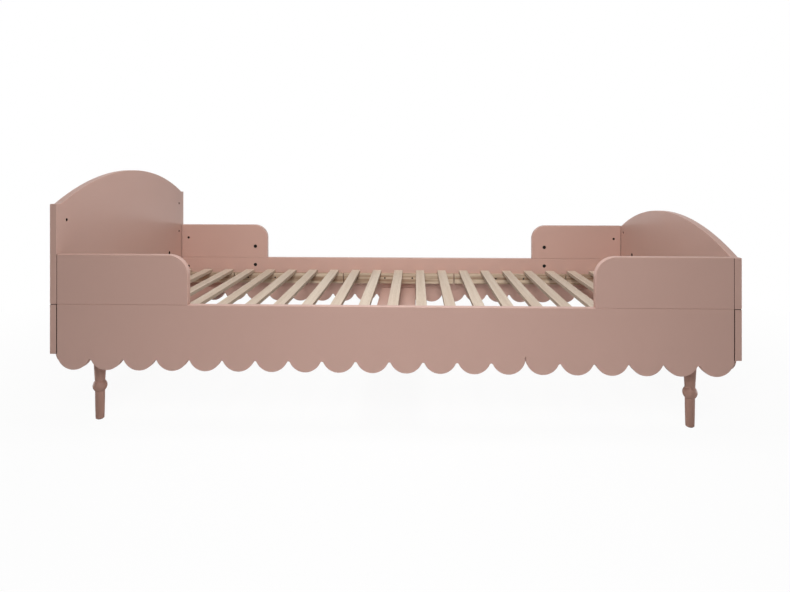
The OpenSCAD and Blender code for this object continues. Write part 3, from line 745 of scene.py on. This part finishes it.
def copies(name, part, places, material, spin=0.0):
    """One piece made of a part's copies; places are (point, turn) pairs. The part is used up."""
    points = bpy.data.meshes.new(name)
    points.from_pydata([place for place, turn in places], [], [])
    turns = points.attributes.new("turn", "FLOAT_VECTOR", "POINT")
    turns.data.foreach_set("vector", [value for place, turn in places for value in turn])
    piece = bpy.data.objects.new(name, points)
    bpy.context.scene.collection.objects.link(piece)
    grow(piece, placed_copies, {"Part": part, "Spin": spin, "Seed": len(places), "Material": material})
    baked(piece)
    bpy.data.objects.remove(part)
    return face_outwards(piece)


def fit(name, part, node, material, slot, places=None, spin=0.0):
    """Puts copies of a part in the place of a CAD node's solids, as one finished piece."""
    join_in(copies(name, part, places or stations(node), material, spin), node, slot=slot)


def upright(node):
    """Where each solid of a CAD node stands, when the solids aren't turned."""
    return [(Vector(((low.x + high.x) / 2, (low.y + high.y) / 2, low.z)), (0, 0, 0))
        for low, high in solids_of(node)]


def cross_recess(part, width, slot):
    """Cuts a cross into the end of a turned part at z = 0."""
    cross = bmesh.new()
    cuboid(cross, (width, slot, RECESS))
    cuboid(cross, (slot, width, RECESS))
    return carve(part, cross)


def pan_screw(length):
    """A pan-head wood screw whose head starts at z = 0, with a cross recess and a thread to its point."""
    head, shank = 3.8 * MM, 2.0 * MM
    thread_start, thread_end = 6 * MM, length - 4 * MM
    profile = [
        (0, 0), (2.2 * MM, 0), (3.1 * MM, 0.25 * MM), (3.6 * MM, 0.8 * MM),
        (head, 1.5 * MM), (head, 2.3 * MM), (3.7 * MM, SCREW_HEAD_DEPTH), (shank, SCREW_HEAD_DEPTH),
        (shank, thread_start), (shank, thread_end), (0.3 * MM, length), (0, length)]
    thread = (thread_start, thread_end, 1.6 * MM, 0.55 * MM)
    return cross_recess(piece_from("pan_screw", turned(profile, thread, around=16)), head, 0.8 * MM)


def coated_steel_group():
    """Plated or blacked steel: small crystals in the coat, faint cloudiness and an uneven gloss."""
    tree, given, result = pattern_tree("coated_steel", {
        "Colour": (0.6, 0.6, 0.58, 1), "Shade": (0.45, 0.46, 0.46, 1), "Gloss": 0.35})
    crystal = add(tree, "ShaderNodeTexVoronoi", {"Vector": given["Vector"], "Scale": 260.0})
    cloud = noise(tree, given["Vector"], scale=90.0, detail=4.0)
    share = Field(tree, crystal.outputs["Distance"]) * 0.5 + cloud
    colour = mixed(tree, share, given["Colour"], given["Shade"])
    return end_pattern(tree, result, colour, cloud * 0.2 + given["Gloss"] - 0.1, cloud)


wood_grain = wood_grain_group()
ledger_pine = patterned("ledger_pine", wood_grain, 0.12 * MM, {
    "Light": LEDGER_LIGHT, "Dark": LEDGER_DARK, "Bands": 0.7, "Knots": 0.8}, Specular_IOR_Level=0.35)
coated_steel = coated_steel_group()
black_steel = patterned("black_steel", coated_steel, 0.02 * MM, {
    "Colour": BLACK, "Shade": BLACK_WORN, "Gloss": 0.65}, Specular_IOR_Level=0.2)
placed_copies = copies_tree()
screw_places = stations("ledger_screws")

for node in ("front_ledgers", "back_ledgers"):
    shape = bmesh.new()
    for low, high in solids_of(node):
        cuboid(shape, high - low, (low + high) / 2)
    battens = ease_edges(piece_from(node + "_battens", shape, ledger_pine), BATTEN_EASE, 2)
    drill(battens, head_bores(node, screw_places, SCREW_BORE_RADIUS, SCREW_HEAD_DEPTH), SMALL_BORE_CORNERS)
    join_in(battens, node, slot="pine_ledger")

screw_length = max((high - low).y for low, high in solids_of("ledger_screws"))
screw = pan_screw(screw_length)
fit("ledger_screws_driven", screw, "ledger_screws", black_steel, "black_steel", spin=math.pi)


# ---- Cross boards ----
# Three painted boards, laid flat from rail to rail under the slats. The two at the ends carry the legs, and
# have a wide shallow bore over each leg for the boss of its plate.

BOSS_BORE_RADIUS, BOSS_BORE_DEPTH = 7.5 * MM, 9 * MM

for node in ("head_cross_board", "middle_cross_board", "foot_cross_board"):
    low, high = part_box(node)
    outline = [(low.x, low.y), (high.x, low.y), (high.x, high.y), (low.x, high.y)]
    cross_board = eased_board(node, 2, outline, low.z, high.z)
    bores = []
    for solid_low, solid_high in solids_of("leg_plates"):
        middle = (solid_low + solid_high) / 2
        if low.x < middle.x < high.x:
            middle.z = low.z - MM
            bores.append((middle, middle + Vector((0, 0, BOSS_BORE_DEPTH + MM)), BOSS_BORE_RADIUS))
    if bores:
        drill(cross_board, bores)
    join_in(cross_board, node, slot="painted_board")


# ---- Angle brackets ----
# Zinc-plated steel angles, bent from strip, that hold the cross boards to the rails from below. Each has a
# hole in either arm and two pan-head screws.

STEEL = 2.5 * MM
ARM, STRIP_WIDTH = 30 * MM, 20 * MM
BEND, BEND_STEPS = 1.5 * MM, 8  # the curve inside the bend
SCREW_HOLE_RADIUS = 2.15 * MM
STEEL_EASE = 0.3 * MM
ZINC, ZINC_DULL = (0.66, 0.67, 0.66, 1), (0.47, 0.49, 0.5, 1)

zinc_plate = patterned("zinc_plate", coated_steel, 0.01 * MM, {
    "Colour": ZINC, "Shade": ZINC_DULL, "Gloss": 0.36}, Metallic=1.0)

bend_out = STEEL + BEND
bend_centre = (-bend_out, -bend_out)
outline = [(-ARM, 0), *arc(bend_centre, bend_out, 90, 0, BEND_STEPS), (0, -ARM), (-STEEL, -ARM)]
outline += [*arc(bend_centre, BEND, 0, 90, BEND_STEPS), (-ARM, -STEEL)]
shape = bmesh.new()
board(shape, 0, outline, -STRIP_WIDTH / 2, STRIP_WIDTH / 2)
bracket = ease_edges(piece_from("bracket", shape), STEEL_EASE, 2)
hole, through = STEEL + ARM / 2, -STEEL - MM
drill(bracket, [
    ((0, -hole, MM), (0, -hole, through), SCREW_HOLE_RADIUS),
    ((0, MM, -hole), (0, through, -hole), SCREW_HOLE_RADIUS)], SMALL_BORE_CORNERS)
places = []
for low, high in solids_of("angle_brackets"):
    back = low.y > 0
    corner = Vector(((low.x + high.x) / 2, high.y if back else low.y, high.z))
    places.append((corner, (0, 0, 0 if back else math.pi)))
fit("bent_brackets", bracket, "angle_brackets", zinc_plate, "zinc_steel", places)

short_screw = max(max(high - low) for low, high in solids_of("bracket_screws"))
screw = pan_screw(short_screw)
fit("bracket_screws_driven", screw, "bracket_screws", zinc_plate, "zinc_steel", spin=math.pi)


# ---- Leg plates ----
# Square zinc-plated steel plates with rounded corners, screwed under the end cross boards. A tapped boss
# stands up from the middle of each and takes the leg's bolt.

PLATE_CORNER, PLATE_CORNER_STEPS = 6 * MM, 10
PLATE_SCREW_OFFSET = 24 * MM
PLATE_BORE_CORNERS, BOSS_CORNERS = 24, 40
BOSS_RADIUS, BOSS_HEIGHT = 6.5 * MM, 7 * MM
BOSS_EASE = 0.8 * MM
TAPPED_RADIUS = 4.15 * MM

low, high = solids_of("leg_plates")[0]
inset = (high.x - low.x) / 2 - PLATE_CORNER
outline = []
for start, (x, y) in zip((0, 90, 180, 270), ((1, 1), (-1, 1), (-1, -1), (1, -1))):
    outline += arc((x * inset, y * inset), PLATE_CORNER, start, start + 90, PLATE_CORNER_STEPS)
shape = bmesh.new()
board(shape, 2, outline, 0, STEEL)
plate = ease_edges(piece_from("plate", shape), STEEL_EASE, 2)
boss_top = STEEL + BOSS_HEIGHT
boss = piece_from("boss", turned([
    (0, STEEL / 2), (BOSS_RADIUS, STEEL / 2), (BOSS_RADIUS, boss_top - BOSS_EASE),
    (BOSS_RADIUS - BOSS_EASE, boss_top), (0, boss_top)], around=BOSS_CORNERS))
weld = plate.modifiers.new("weld", "BOOLEAN")
weld.object, weld.operation, weld.solver = boss, "UNION", "EXACT"
baked(plate)
bpy.data.objects.remove(boss)
holes = [((0, 0, -MM), (0, 0, boss_top + MM), TAPPED_RADIUS)]
for x in (-PLATE_SCREW_OFFSET, PLATE_SCREW_OFFSET):
    for y in (-PLATE_SCREW_OFFSET, PLATE_SCREW_OFFSET):
        holes.append(((x, y, -MM), (x, y, STEEL + MM), SCREW_HOLE_RADIUS))
drill(plate, holes, PLATE_BORE_CORNERS)
fit("welded_leg_plates", plate, "leg_plates", zinc_plate, "zinc_steel", upright("leg_plates"))

screw = pan_screw(short_screw)
fit("plate_screws_driven", screw, "leg_plate_screws", zinc_plate, "zinc_steel", spin=math.pi)


# ---- Legs ----
# Four legs turned from solid wood and painted like the boards: a slender foot that swells upwards, a ball, a
# short neck and a top that flares to the plate. A bolt in the top screws into the plate's boss.

FOOT_DIAMETER, SHAFT_DIAMETER = 25 * MM, 28.4 * MM
BALL_DIAMETER, BALL_HEIGHT = 42.2 * MM, 104 * MM
NECK_DIAMETER, TOP_DIAMETER = 29.4 * MM, 40 * MM
SWELL = 2.2  # how suddenly the shaft swells below the ball
FILLET = 0.9 * MM
LEG_EASE = 1.2 * MM
LEG_ROWS, LEG_AROUND = 236, 64
LEG_WELD = 0.01 * MM
LEG_PINK, LEG_SHADE = (0.4, 0.236, 0.188, 1), (0.375, 0.218, 0.172, 1)
HANGER_RADIUS = 4 * MM


def turned_leg_tree():
    """A leg turned about Z: a grid is rolled up, and each row takes its radius from the leg's profile."""
    tree, given, result = shape_tree("turned_leg", {
        "Foot height": 0.002, "Top height": 0.21, "Ball height": 0.104, "Foot diameter": 0.025,
        "Shaft diameter": 0.0284, "Ball diameter": 0.042, "Neck diameter": 0.0294, "Top diameter": 0.04,
        "Swell": 2.2, "Fillet": 0.003, "Rows": 200, "Around": 48})
    foot_z, top_z, ball_z, foot, shaft, ball, neck, top, swell, fillet, rows, around = fields(tree, given)

    grid = add(tree, "GeometryNodeMeshGrid", {
        "Size X": rows - 1, "Size Y": around, "Vertices X": rows, "Vertices Y": around + 1})
    position = add(tree, "GeometryNodeInputPosition").outputs[0]
    split = add(tree, "ShaderNodeSeparateXYZ", {0: position}).outputs
    row = Field(tree, split[0]) + (rows - 1) / 2
    angle = Field(tree, split[1]) / around * math.tau

    # The first and the last row close the ends.
    share = ((row - 1) / (rows - 3)).at_least(0.0).at_most(1.0)
    z = foot_z + (top_z - foot_z) * share
    below = (1 - z / ball_z).at_least(0.0)
    swelling = shaft / 2 - (shaft - foot) / 2 * below.power(swell)
    neck_z = ball_z + (ball * ball / 4 - neck * neck / 4).root()
    flare = ((z - neck_z) / (top_z - neck_z)).at_least(0.0)
    stem = choose(z < ball_z, swelling, neck / 2 + (top - neck) / 2 * flare)
    off_centre = z - ball_z
    sphere = (ball * ball / 4 - off_centre * off_centre).at_least(0.0).root()
    radius = stem.math("SMOOTH_MAX", sphere, fillet) * (row > 0.5) * (row < rows - 1.5)

    place = add(tree, "ShaderNodeCombineXYZ", {0: radius * angle.cos(), 1: radius * angle.sin(), 2: z})
    rolled = add(tree, "GeometryNodeSetPosition", {"Geometry": grid.outputs[0], "Position": place.outputs[0]})
    merged = add(tree, "GeometryNodeMergeByDistance", {"Geometry": rolled.outputs[0], "Distance": LEG_WELD})
    return end_shape(tree, merged, given, result)


painted_turning = patterned("painted_turning", paint_film, 0.03 * MM, {
    "Colour": LEG_PINK, "Shade": LEG_SHADE, "Gloss": 0.42}, Specular_IOR_Level=0.25)
turned_leg = turned_leg_tree()
bolt_solids = solids_of("leg_hanger_bolts")

for node in ("front_head_leg", "front_foot_leg", "back_head_leg", "back_foot_leg"):
    low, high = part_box(node)
    leg = piece_from(node + "_turning", bmesh.new())
    grow(leg, turned_leg, {
        "Foot height": low.z, "Top height": high.z, "Ball height": BALL_HEIGHT,
        "Foot diameter": FOOT_DIAMETER, "Shaft diameter": SHAFT_DIAMETER, "Ball diameter": BALL_DIAMETER,
        "Neck diameter": NECK_DIAMETER, "Top diameter": TOP_DIAMETER, "Swell": SWELL, "Fillet": FILLET,
        "Rows": LEG_ROWS, "Around": LEG_AROUND, "Material": painted_turning})
    ease_edges(leg, LEG_EASE)
    x, y = (low.x + high.x) / 2, (low.y + high.y) / 2
    leg.data.transform(Matrix.Translation((x, y, 0)))
    face_outwards(leg)
    bolt_low = next(a for a, b in bolt_solids if a.x < x < b.x and a.y < y < b.y)
    drill(leg, [((x, y, high.z + MM), (x, y, bolt_low.z - MM), TAPPED_RADIUS)])
    join_in(leg, node, slot="painted_turning")

length = bolt_solids[0][1].z - bolt_solids[0][0].z
bolt = piece_from("hanger_bolt", turned([
    (0, 0), (1.5 * MM, 0), (HANGER_RADIUS, 3 * MM), (HANGER_RADIUS, length - MM), (3.2 * MM, length),
    (0, length)], (3 * MM, length - MM, 1.5 * MM, 0.6 * MM)))
fit("threaded_hanger_bolts", bolt, "leg_hanger_bolts", zinc_plate, "zinc_steel")


# ---- Glides ----
# A round nylon pad under each foot, with a rounded rim and a sunk middle for its nail.

NYLON, NYLON_SHADE = (0.055, 0.045, 0.042, 1), (0.035, 0.029, 0.028, 1)


def moulded_group():
    """Moulded plastic: an even colour with a faint flow of shade and a fine grained skin."""
    tree, given, result = pattern_tree("moulded_plastic", {
        "Colour": (0.05, 0.04, 0.04, 1), "Shade": (0.04, 0.03, 0.03, 1), "Gloss": 0.5})
    flow = noise(tree, given["Vector"], scale=60.0, detail=3.0)
    skin = noise(tree, given["Vector"], scale=2500.0)
    colour = mixed(tree, flow, given["Colour"], given["Shade"])
    return end_pattern(tree, result, colour, skin * 0.15 + given["Gloss"], skin)


nylon = patterned("nylon", moulded_group(), 0.02 * MM, {"Colour": NYLON, "Shade": NYLON_SHADE})
low, high = solids_of("leg_glides")[0]
rim = (high.x - low.x) / 2
glide = piece_from("glide", turned([
    (0, 1.1 * MM), (2.6 * MM, 1.1 * MM), (3.2 * MM, 0.9 * MM), (4 * MM, 0.1 * MM), (4.6 * MM, 0),
    (rim - 1.4 * MM, 0), (rim - 0.7 * MM, 0.2 * MM), (rim - 0.2 * MM, 0.7 * MM),
    (rim, 1.4 * MM), (rim, 2 * MM), (0, 2 * MM)], around=48))
fit("moulded_glides", glide, "leg_glides", nylon, "nylon")


# ---- Slats and their pegs ----
# Twenty-one bare pine slats, planed and eased, lie across the ledgers in an even row with their grain along
# them. A beech peg under each end keeps a slat in its place.

SLAT_EASE = 1.5 * MM
SLAT_LIGHT, SLAT_DARK = (0.75, 0.645, 0.535, 1), (0.58, 0.455, 0.35, 1)
# The colour of the slats' flecks, and of the painted shade on their sides.
SLAT_FLECK_AND_SIDE_SHADE = (0.36, 0.26, 0.185, 1)
BEECH_LIGHT, BEECH_DARK = (0.66, 0.46, 0.28, 1), (0.48, 0.3, 0.17, 1)
FLECKS = (150, 900)  # how many to a metre, along and across the grain
SHIFT_ALONG, SHIFT_DOWN = 37, 11  # how far apart the slats' parts of the grain may lie, in metres
FLUTE_DEPTH = 0.25 * MM
DOWEL_AROUND = 24


def slat_wood_group():
    """Wood for a row of slats that run along Y: each shows another part of the grain, in its own tone.

    The sides are painted darker than the tops, as painted shade.
    """
    tree, given, result = pattern_tree("slat_wood", {
        "Light": (0.75, 0.64, 0.52, 1), "Dark": (0.6, 0.48, 0.35, 1), "Sawn": (0.4, 0.3, 0.2, 1),
        "Tone range": 0.3})
    geometry = add(tree, "ShaderNodeNewGeometry").outputs
    chance = Field(tree, geometry["Random Per Island"])
    split = add(tree, "ShaderNodeSeparateXYZ", {0: given["Vector"]}).outputs
    along = Field(tree, split[1]) + chance * SHIFT_ALONG
    down = Field(tree, split[2]) + chance * SHIFT_DOWN
    place = add(tree, "ShaderNodeCombineXYZ", {0: along, 1: split[0], 2: down}).outputs[0]
    grain = add(tree, "ShaderNodeGroup", {
        "Vector": place, "Light": given["Light"], "Dark": given["Dark"], "Bands": 0.45,
        "Tone": (chance - 0.5) * given["Tone range"]}, node_tree=wood_grain).outputs
    fleck = noise(tree, stretched(tree, place, *FLECKS), scale=1.0, detail=2.0)
    flecked = mixed(tree, fleck.remapped(0.52, 0.7, 0.0, 0.5), grain["Colour"], given["Sawn"])
    # Painted shade: faces that stand upright are darkened towards the fleck and side shade colour.
    up = add(tree, "ShaderNodeSeparateXYZ", {0: geometry["True Normal"]}).outputs[2]
    painted_side_shade = Field(tree, up).unsigned().remapped(0.3, 0.8, 0.6, 0.0)
    colour = mixed(tree, painted_side_shade, flecked, given["Sawn"])
    return end_pattern(tree, result, colour, grain["Roughness"], grain["Height"])


def chamfered(radius, length, chamfer):
    """The profile of a round bar with chamfered ends."""
    return [
        (0, 0), (radius - chamfer, 0), (radius, chamfer), (radius, length - chamfer),
        (radius - chamfer, length), (0, length)]


def dowel(radius, length):
    """A wooden dowel with chamfered ends, fluted at every second row of its vertices."""
    shape = turned(chamfered(radius, length, MM), around=DOWEL_AROUND)
    for vert in shape.verts:
        row = round(math.atan2(vert.co.y, vert.co.x) / math.tau * DOWEL_AROUND)
        if vert.co.xy.length > radius - FLUTE_DEPTH and row % 2:
            vert.co.xy *= 1 - FLUTE_DEPTH / radius
    return piece_from("dowel", shape)


slat_pine = patterned("slat_pine", slat_wood_group(), 0.08 * MM, {
    "Light": SLAT_LIGHT, "Dark": SLAT_DARK, "Sawn": SLAT_FLECK_AND_SIDE_SHADE}, Specular_IOR_Level=0.35)
slat_nodes = [f"slat_{number:02d}" for number in range(1, 22)]
low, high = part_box(slat_nodes[0])
shape = bmesh.new()
cuboid(shape, high - low)
slat = ease_edges(piece_from("slat", shape), SLAT_EASE)
places = [((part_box(node)[0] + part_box(node)[1]) / 2, (0, 0, 0)) for node in slat_nodes]
join_in(copies("planed_slats", slat, places, slat_pine), *slat_nodes, slot="pine_slat")

beech = patterned("beech", wood_grain, 0.05 * MM, {"Light": BEECH_LIGHT, "Dark": BEECH_DARK, "Bands": 0.3})
low, high = solids_of("slat_pegs")[0]
fit("fluted_pegs", dowel((high.x - low.x) / 2, high.z - low.z), "slat_pegs", beech, "beech_dowel")


# ---- Fittings between the boards ----
# Knock-down fittings, slipped into the bores: steel barrel nuts for the end bolts, cams that grip the dowels
# with two heads, and fluted beech dowels that line the boards up.

RIM = 0.5 * MM
NUT_SLOT = (6 * MM, 1.2 * MM, 2 * MM)
BOLT_RADIUS, BOLT_THREAD = 2.5 * MM, 26 * MM
BOLT_HEAD = 3 * MM
CAM_SLOT_LENGTH, CAM_SLOT = 10 * MM, 1.6 * MM
CAM_PASSAGE = 3.15 * MM
FITTING_CORNERS = 24

low, high = solids_of("barrel_nuts")[0]
nut_radius, nut_length = (high.x - low.x) / 2, high.y - low.y
nut = piece_from("nut", turned(chamfered(nut_radius, nut_length, RIM), around=32))
shape = bmesh.new()
cuboid(shape, NUT_SLOT)
carve(nut, shape)
drill(nut, [((-1, 0, nut_length / 2), (1, 0, nut_length / 2), BOLT_RADIUS)], FITTING_CORNERS)
fit("slotted_barrel_nuts", nut, "barrel_nuts", black_steel, "black_steel")

low, high = solids_of("end_bolts")[0]
length, head = high.x - low.x, (high.z - low.z) / 2
bolt = piece_from("end_bolt", turned([
    (0, 0), (head - 0.8 * MM, 0), (head - 0.2 * MM, 0.2 * MM), (head, 0.8 * MM), (head, 2.6 * MM),
    (head - 0.4 * MM, BOLT_HEAD), (BOLT_RADIUS, BOLT_HEAD), (BOLT_RADIUS, length - BOLT_THREAD),
    (BOLT_RADIUS, length - MM), (1.9 * MM, length), (0, length)],
    (length - BOLT_THREAD, length - MM, 0.8 * MM, 0.4 * MM), around=32))
drill(bolt, [((0, 0, -MM), (0, 0, 2 * MM), 2 * MM)], corners=6)
fit("socket_head_bolts", bolt, "end_bolts", zinc_plate, "zinc_steel", bolt_places, spin=math.pi / 3)

low, high = solids_of("cam_locks")[0]
cam_size = high - low
cam_length, cam_radius = cam_size[turning_axis(cam_size)], sorted(cam_size)[1] / 2
cam = piece_from("cam", turned(chamfered(cam_radius, cam_length, RIM), around=40))
cross_recess(cam, CAM_SLOT_LENGTH, CAM_SLOT)
drill(cam, [((0, 0, cam_length / 2), (0, 10 * MM, cam_length / 2), CAM_PASSAGE)], FITTING_CORNERS)
places = stations("cam_locks")
seam_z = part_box("front_side_rail")[1].z
for i, (start, turn) in enumerate(places):
    if start.z > seam_z:
        places[i] = (start, (turn.to_matrix() @ Matrix.Rotation(math.pi, 3, "Z")).to_euler())
fit("cross_slot_cams", cam, "cam_locks", black_steel, "black_steel", places)

low, high = solids_of("cam_dowels")[0]
length, radius, neck = high.z - low.z, (high.x - low.x) / 2, 2 * MM
half = [
    (0, 0), (neck, 0), (radius, 0.6 * MM), (radius, 2 * MM),
    (neck, 2.4 * MM), (neck, 6 * MM), (radius, 7 * MM)]
rod = piece_from("rod", turned(half + [(r, length - z) for r, z in reversed(half)]))
fit("two_headed_dowels", rod, "cam_dowels", zinc_plate, "zinc_steel", upright("cam_dowels"))

low, high = solids_of("locating_dowels")[0]
rod = dowel(min(high - low) / 2, max(high - low))
fit("fluted_dowels", rod, "locating_dowels", beech, "beech_dowel")


# ---- Floor, light and camera ----
# A pale studio floor that runs out to white and keeps only a soft shadow, in a white surround. Soft lamps
# stand in front, above, and low behind the bed and at its two ends, and the camera looks level from in front.

FLOOR_HALF = 8.0
FLOOR_PALE = (0.95, 0.95, 0.95, 1)
FLOOR_WHITE = 0.94  # how far the floor under the bed is white to the camera, whatever falls on it
FADE_START, FADE_END = 0.9, 2.4  # distances from the bed's middle between which the floor fades to white
SURROUND = 0.02  # how much the white surround lights the bed
WHITE = (1, 1, 1, 1)
CAMERA_PLACE = (0.0796, -2.2138, 0.7828)
CAMERA_TURN = 1.8346  # degrees to the left
CAMERA_LENS, CAMERA_SENSOR = 26.5229, 36.0
CAMERA_SHIFT = (-0.002987, -0.161418)  # the lens is shifted down, so that uprights stay upright


def floor_material():
    """A pale floor that keeps the bed's shadow and fades to plain white around it."""
    material, tree, shader, place = new_material("studio_floor", {
        "Base Color": FLOOR_PALE, "Specular IOR Level": 0.0})
    distance = add(tree, "ShaderNodeVectorMath", {0: place}, operation="LENGTH").outputs["Value"]
    fade = Field(tree, distance).remapped(FADE_START, FADE_END, FLOOR_WHITE, 1.0)
    seen = fade * add(tree, "ShaderNodeLightPath").outputs["Is Camera Ray"]
    white = add(tree, "ShaderNodeEmission", {"Color": WHITE, "Strength": 1.0})
    mix = add(tree, "ShaderNodeMixShader", {0: seen, 1: shader.outputs[0], 2: white.outputs[0]})
    tree.links.new(mix.outputs[0], tree.nodes["Material Output"].inputs["Surface"])
    return material


def lamp(name, place, aim, width, depth, power):
    """A soft rectangular lamp that shines from its place towards a point."""
    light = bpy.data.lights.new(name, "AREA")
    light.shape, light.size, light.size_y, light.energy = "RECTANGLE", width, depth, power
    holder = bpy.data.objects.new(name, light)
    scene.collection.objects.link(holder)
    holder.location = place
    holder.rotation_euler = (Vector(aim) - Vector(place)).to_track_quat("-Z", "Y").to_euler()
    return holder


shape = bmesh.new()
bmesh.ops.create_grid(shape, x_segments=1, y_segments=1, size=FLOOR_HALF)
floor = piece_from("studio_floor", shape, floor_material())

scene = bpy.context.scene
scene.view_settings.view_transform = "Standard"
scene.world = bpy.data.worlds.new("white_surround")
scene.world.use_nodes = True
tree = scene.world.node_tree
paths = add(tree, "ShaderNodeLightPath").outputs
seen = Field(tree, paths["Is Camera Ray"]).at_least(paths["Is Glossy Ray"])
seen = seen.at_least(paths["Is Transmission Ray"])
background = tree.nodes["Background"]
background.inputs["Color"].default_value = WHITE
tree.links.new((seen * (1 - SURROUND) + SURROUND).socket, background.inputs["Strength"])

lamps = [
    lamp("lamp_far_in_front", (0.05, -3.4, 3.2), (0.0, -0.3, 0.3), 3.0, 1.2, 55),
    lamp("lamp_by_camera", (0.05, -1.8, 1.1), (0.0, -0.48, 0.3), 0.5, 0.5, 7),
    lamp("lamp_over_the_slats", (0.0, -0.4, 1.6), (0.0, 0.5, 0.4), 0.6, 0.6, 13.5),
    lamp("lamp_overhead", (0.0, -0.1, 2.6), (0.0, -0.1, 0.3), 2.6, 0.4, 5),
    lamp("lamp_low_behind", (0.0, 2.8, 0.16), (0.0, 0.4, 0.25), 2.4, 0.28, 6),
    lamp("lamp_low_at_head", (-3.0, 0.1, 0.16), (-1.0, 0.1, 0.3), 1.0, 0.28, 20),
    lamp("lamp_low_at_foot", (3.0, 0.1, 0.16), (1.0, 0.1, 0.3), 1.0, 0.28, 20)]

camera = bpy.data.cameras.new("camera")
camera.lens, camera.sensor_width = CAMERA_LENS, CAMERA_SENSOR
camera.shift_x, camera.shift_y = CAMERA_SHIFT
viewer = bpy.data.objects.new("camera", camera)
viewer.location = CAMERA_PLACE
viewer.rotation_euler = (math.radians(90), 0, math.radians(CAMERA_TURN))
scene.collection.objects.link(viewer)
scene.camera = viewer
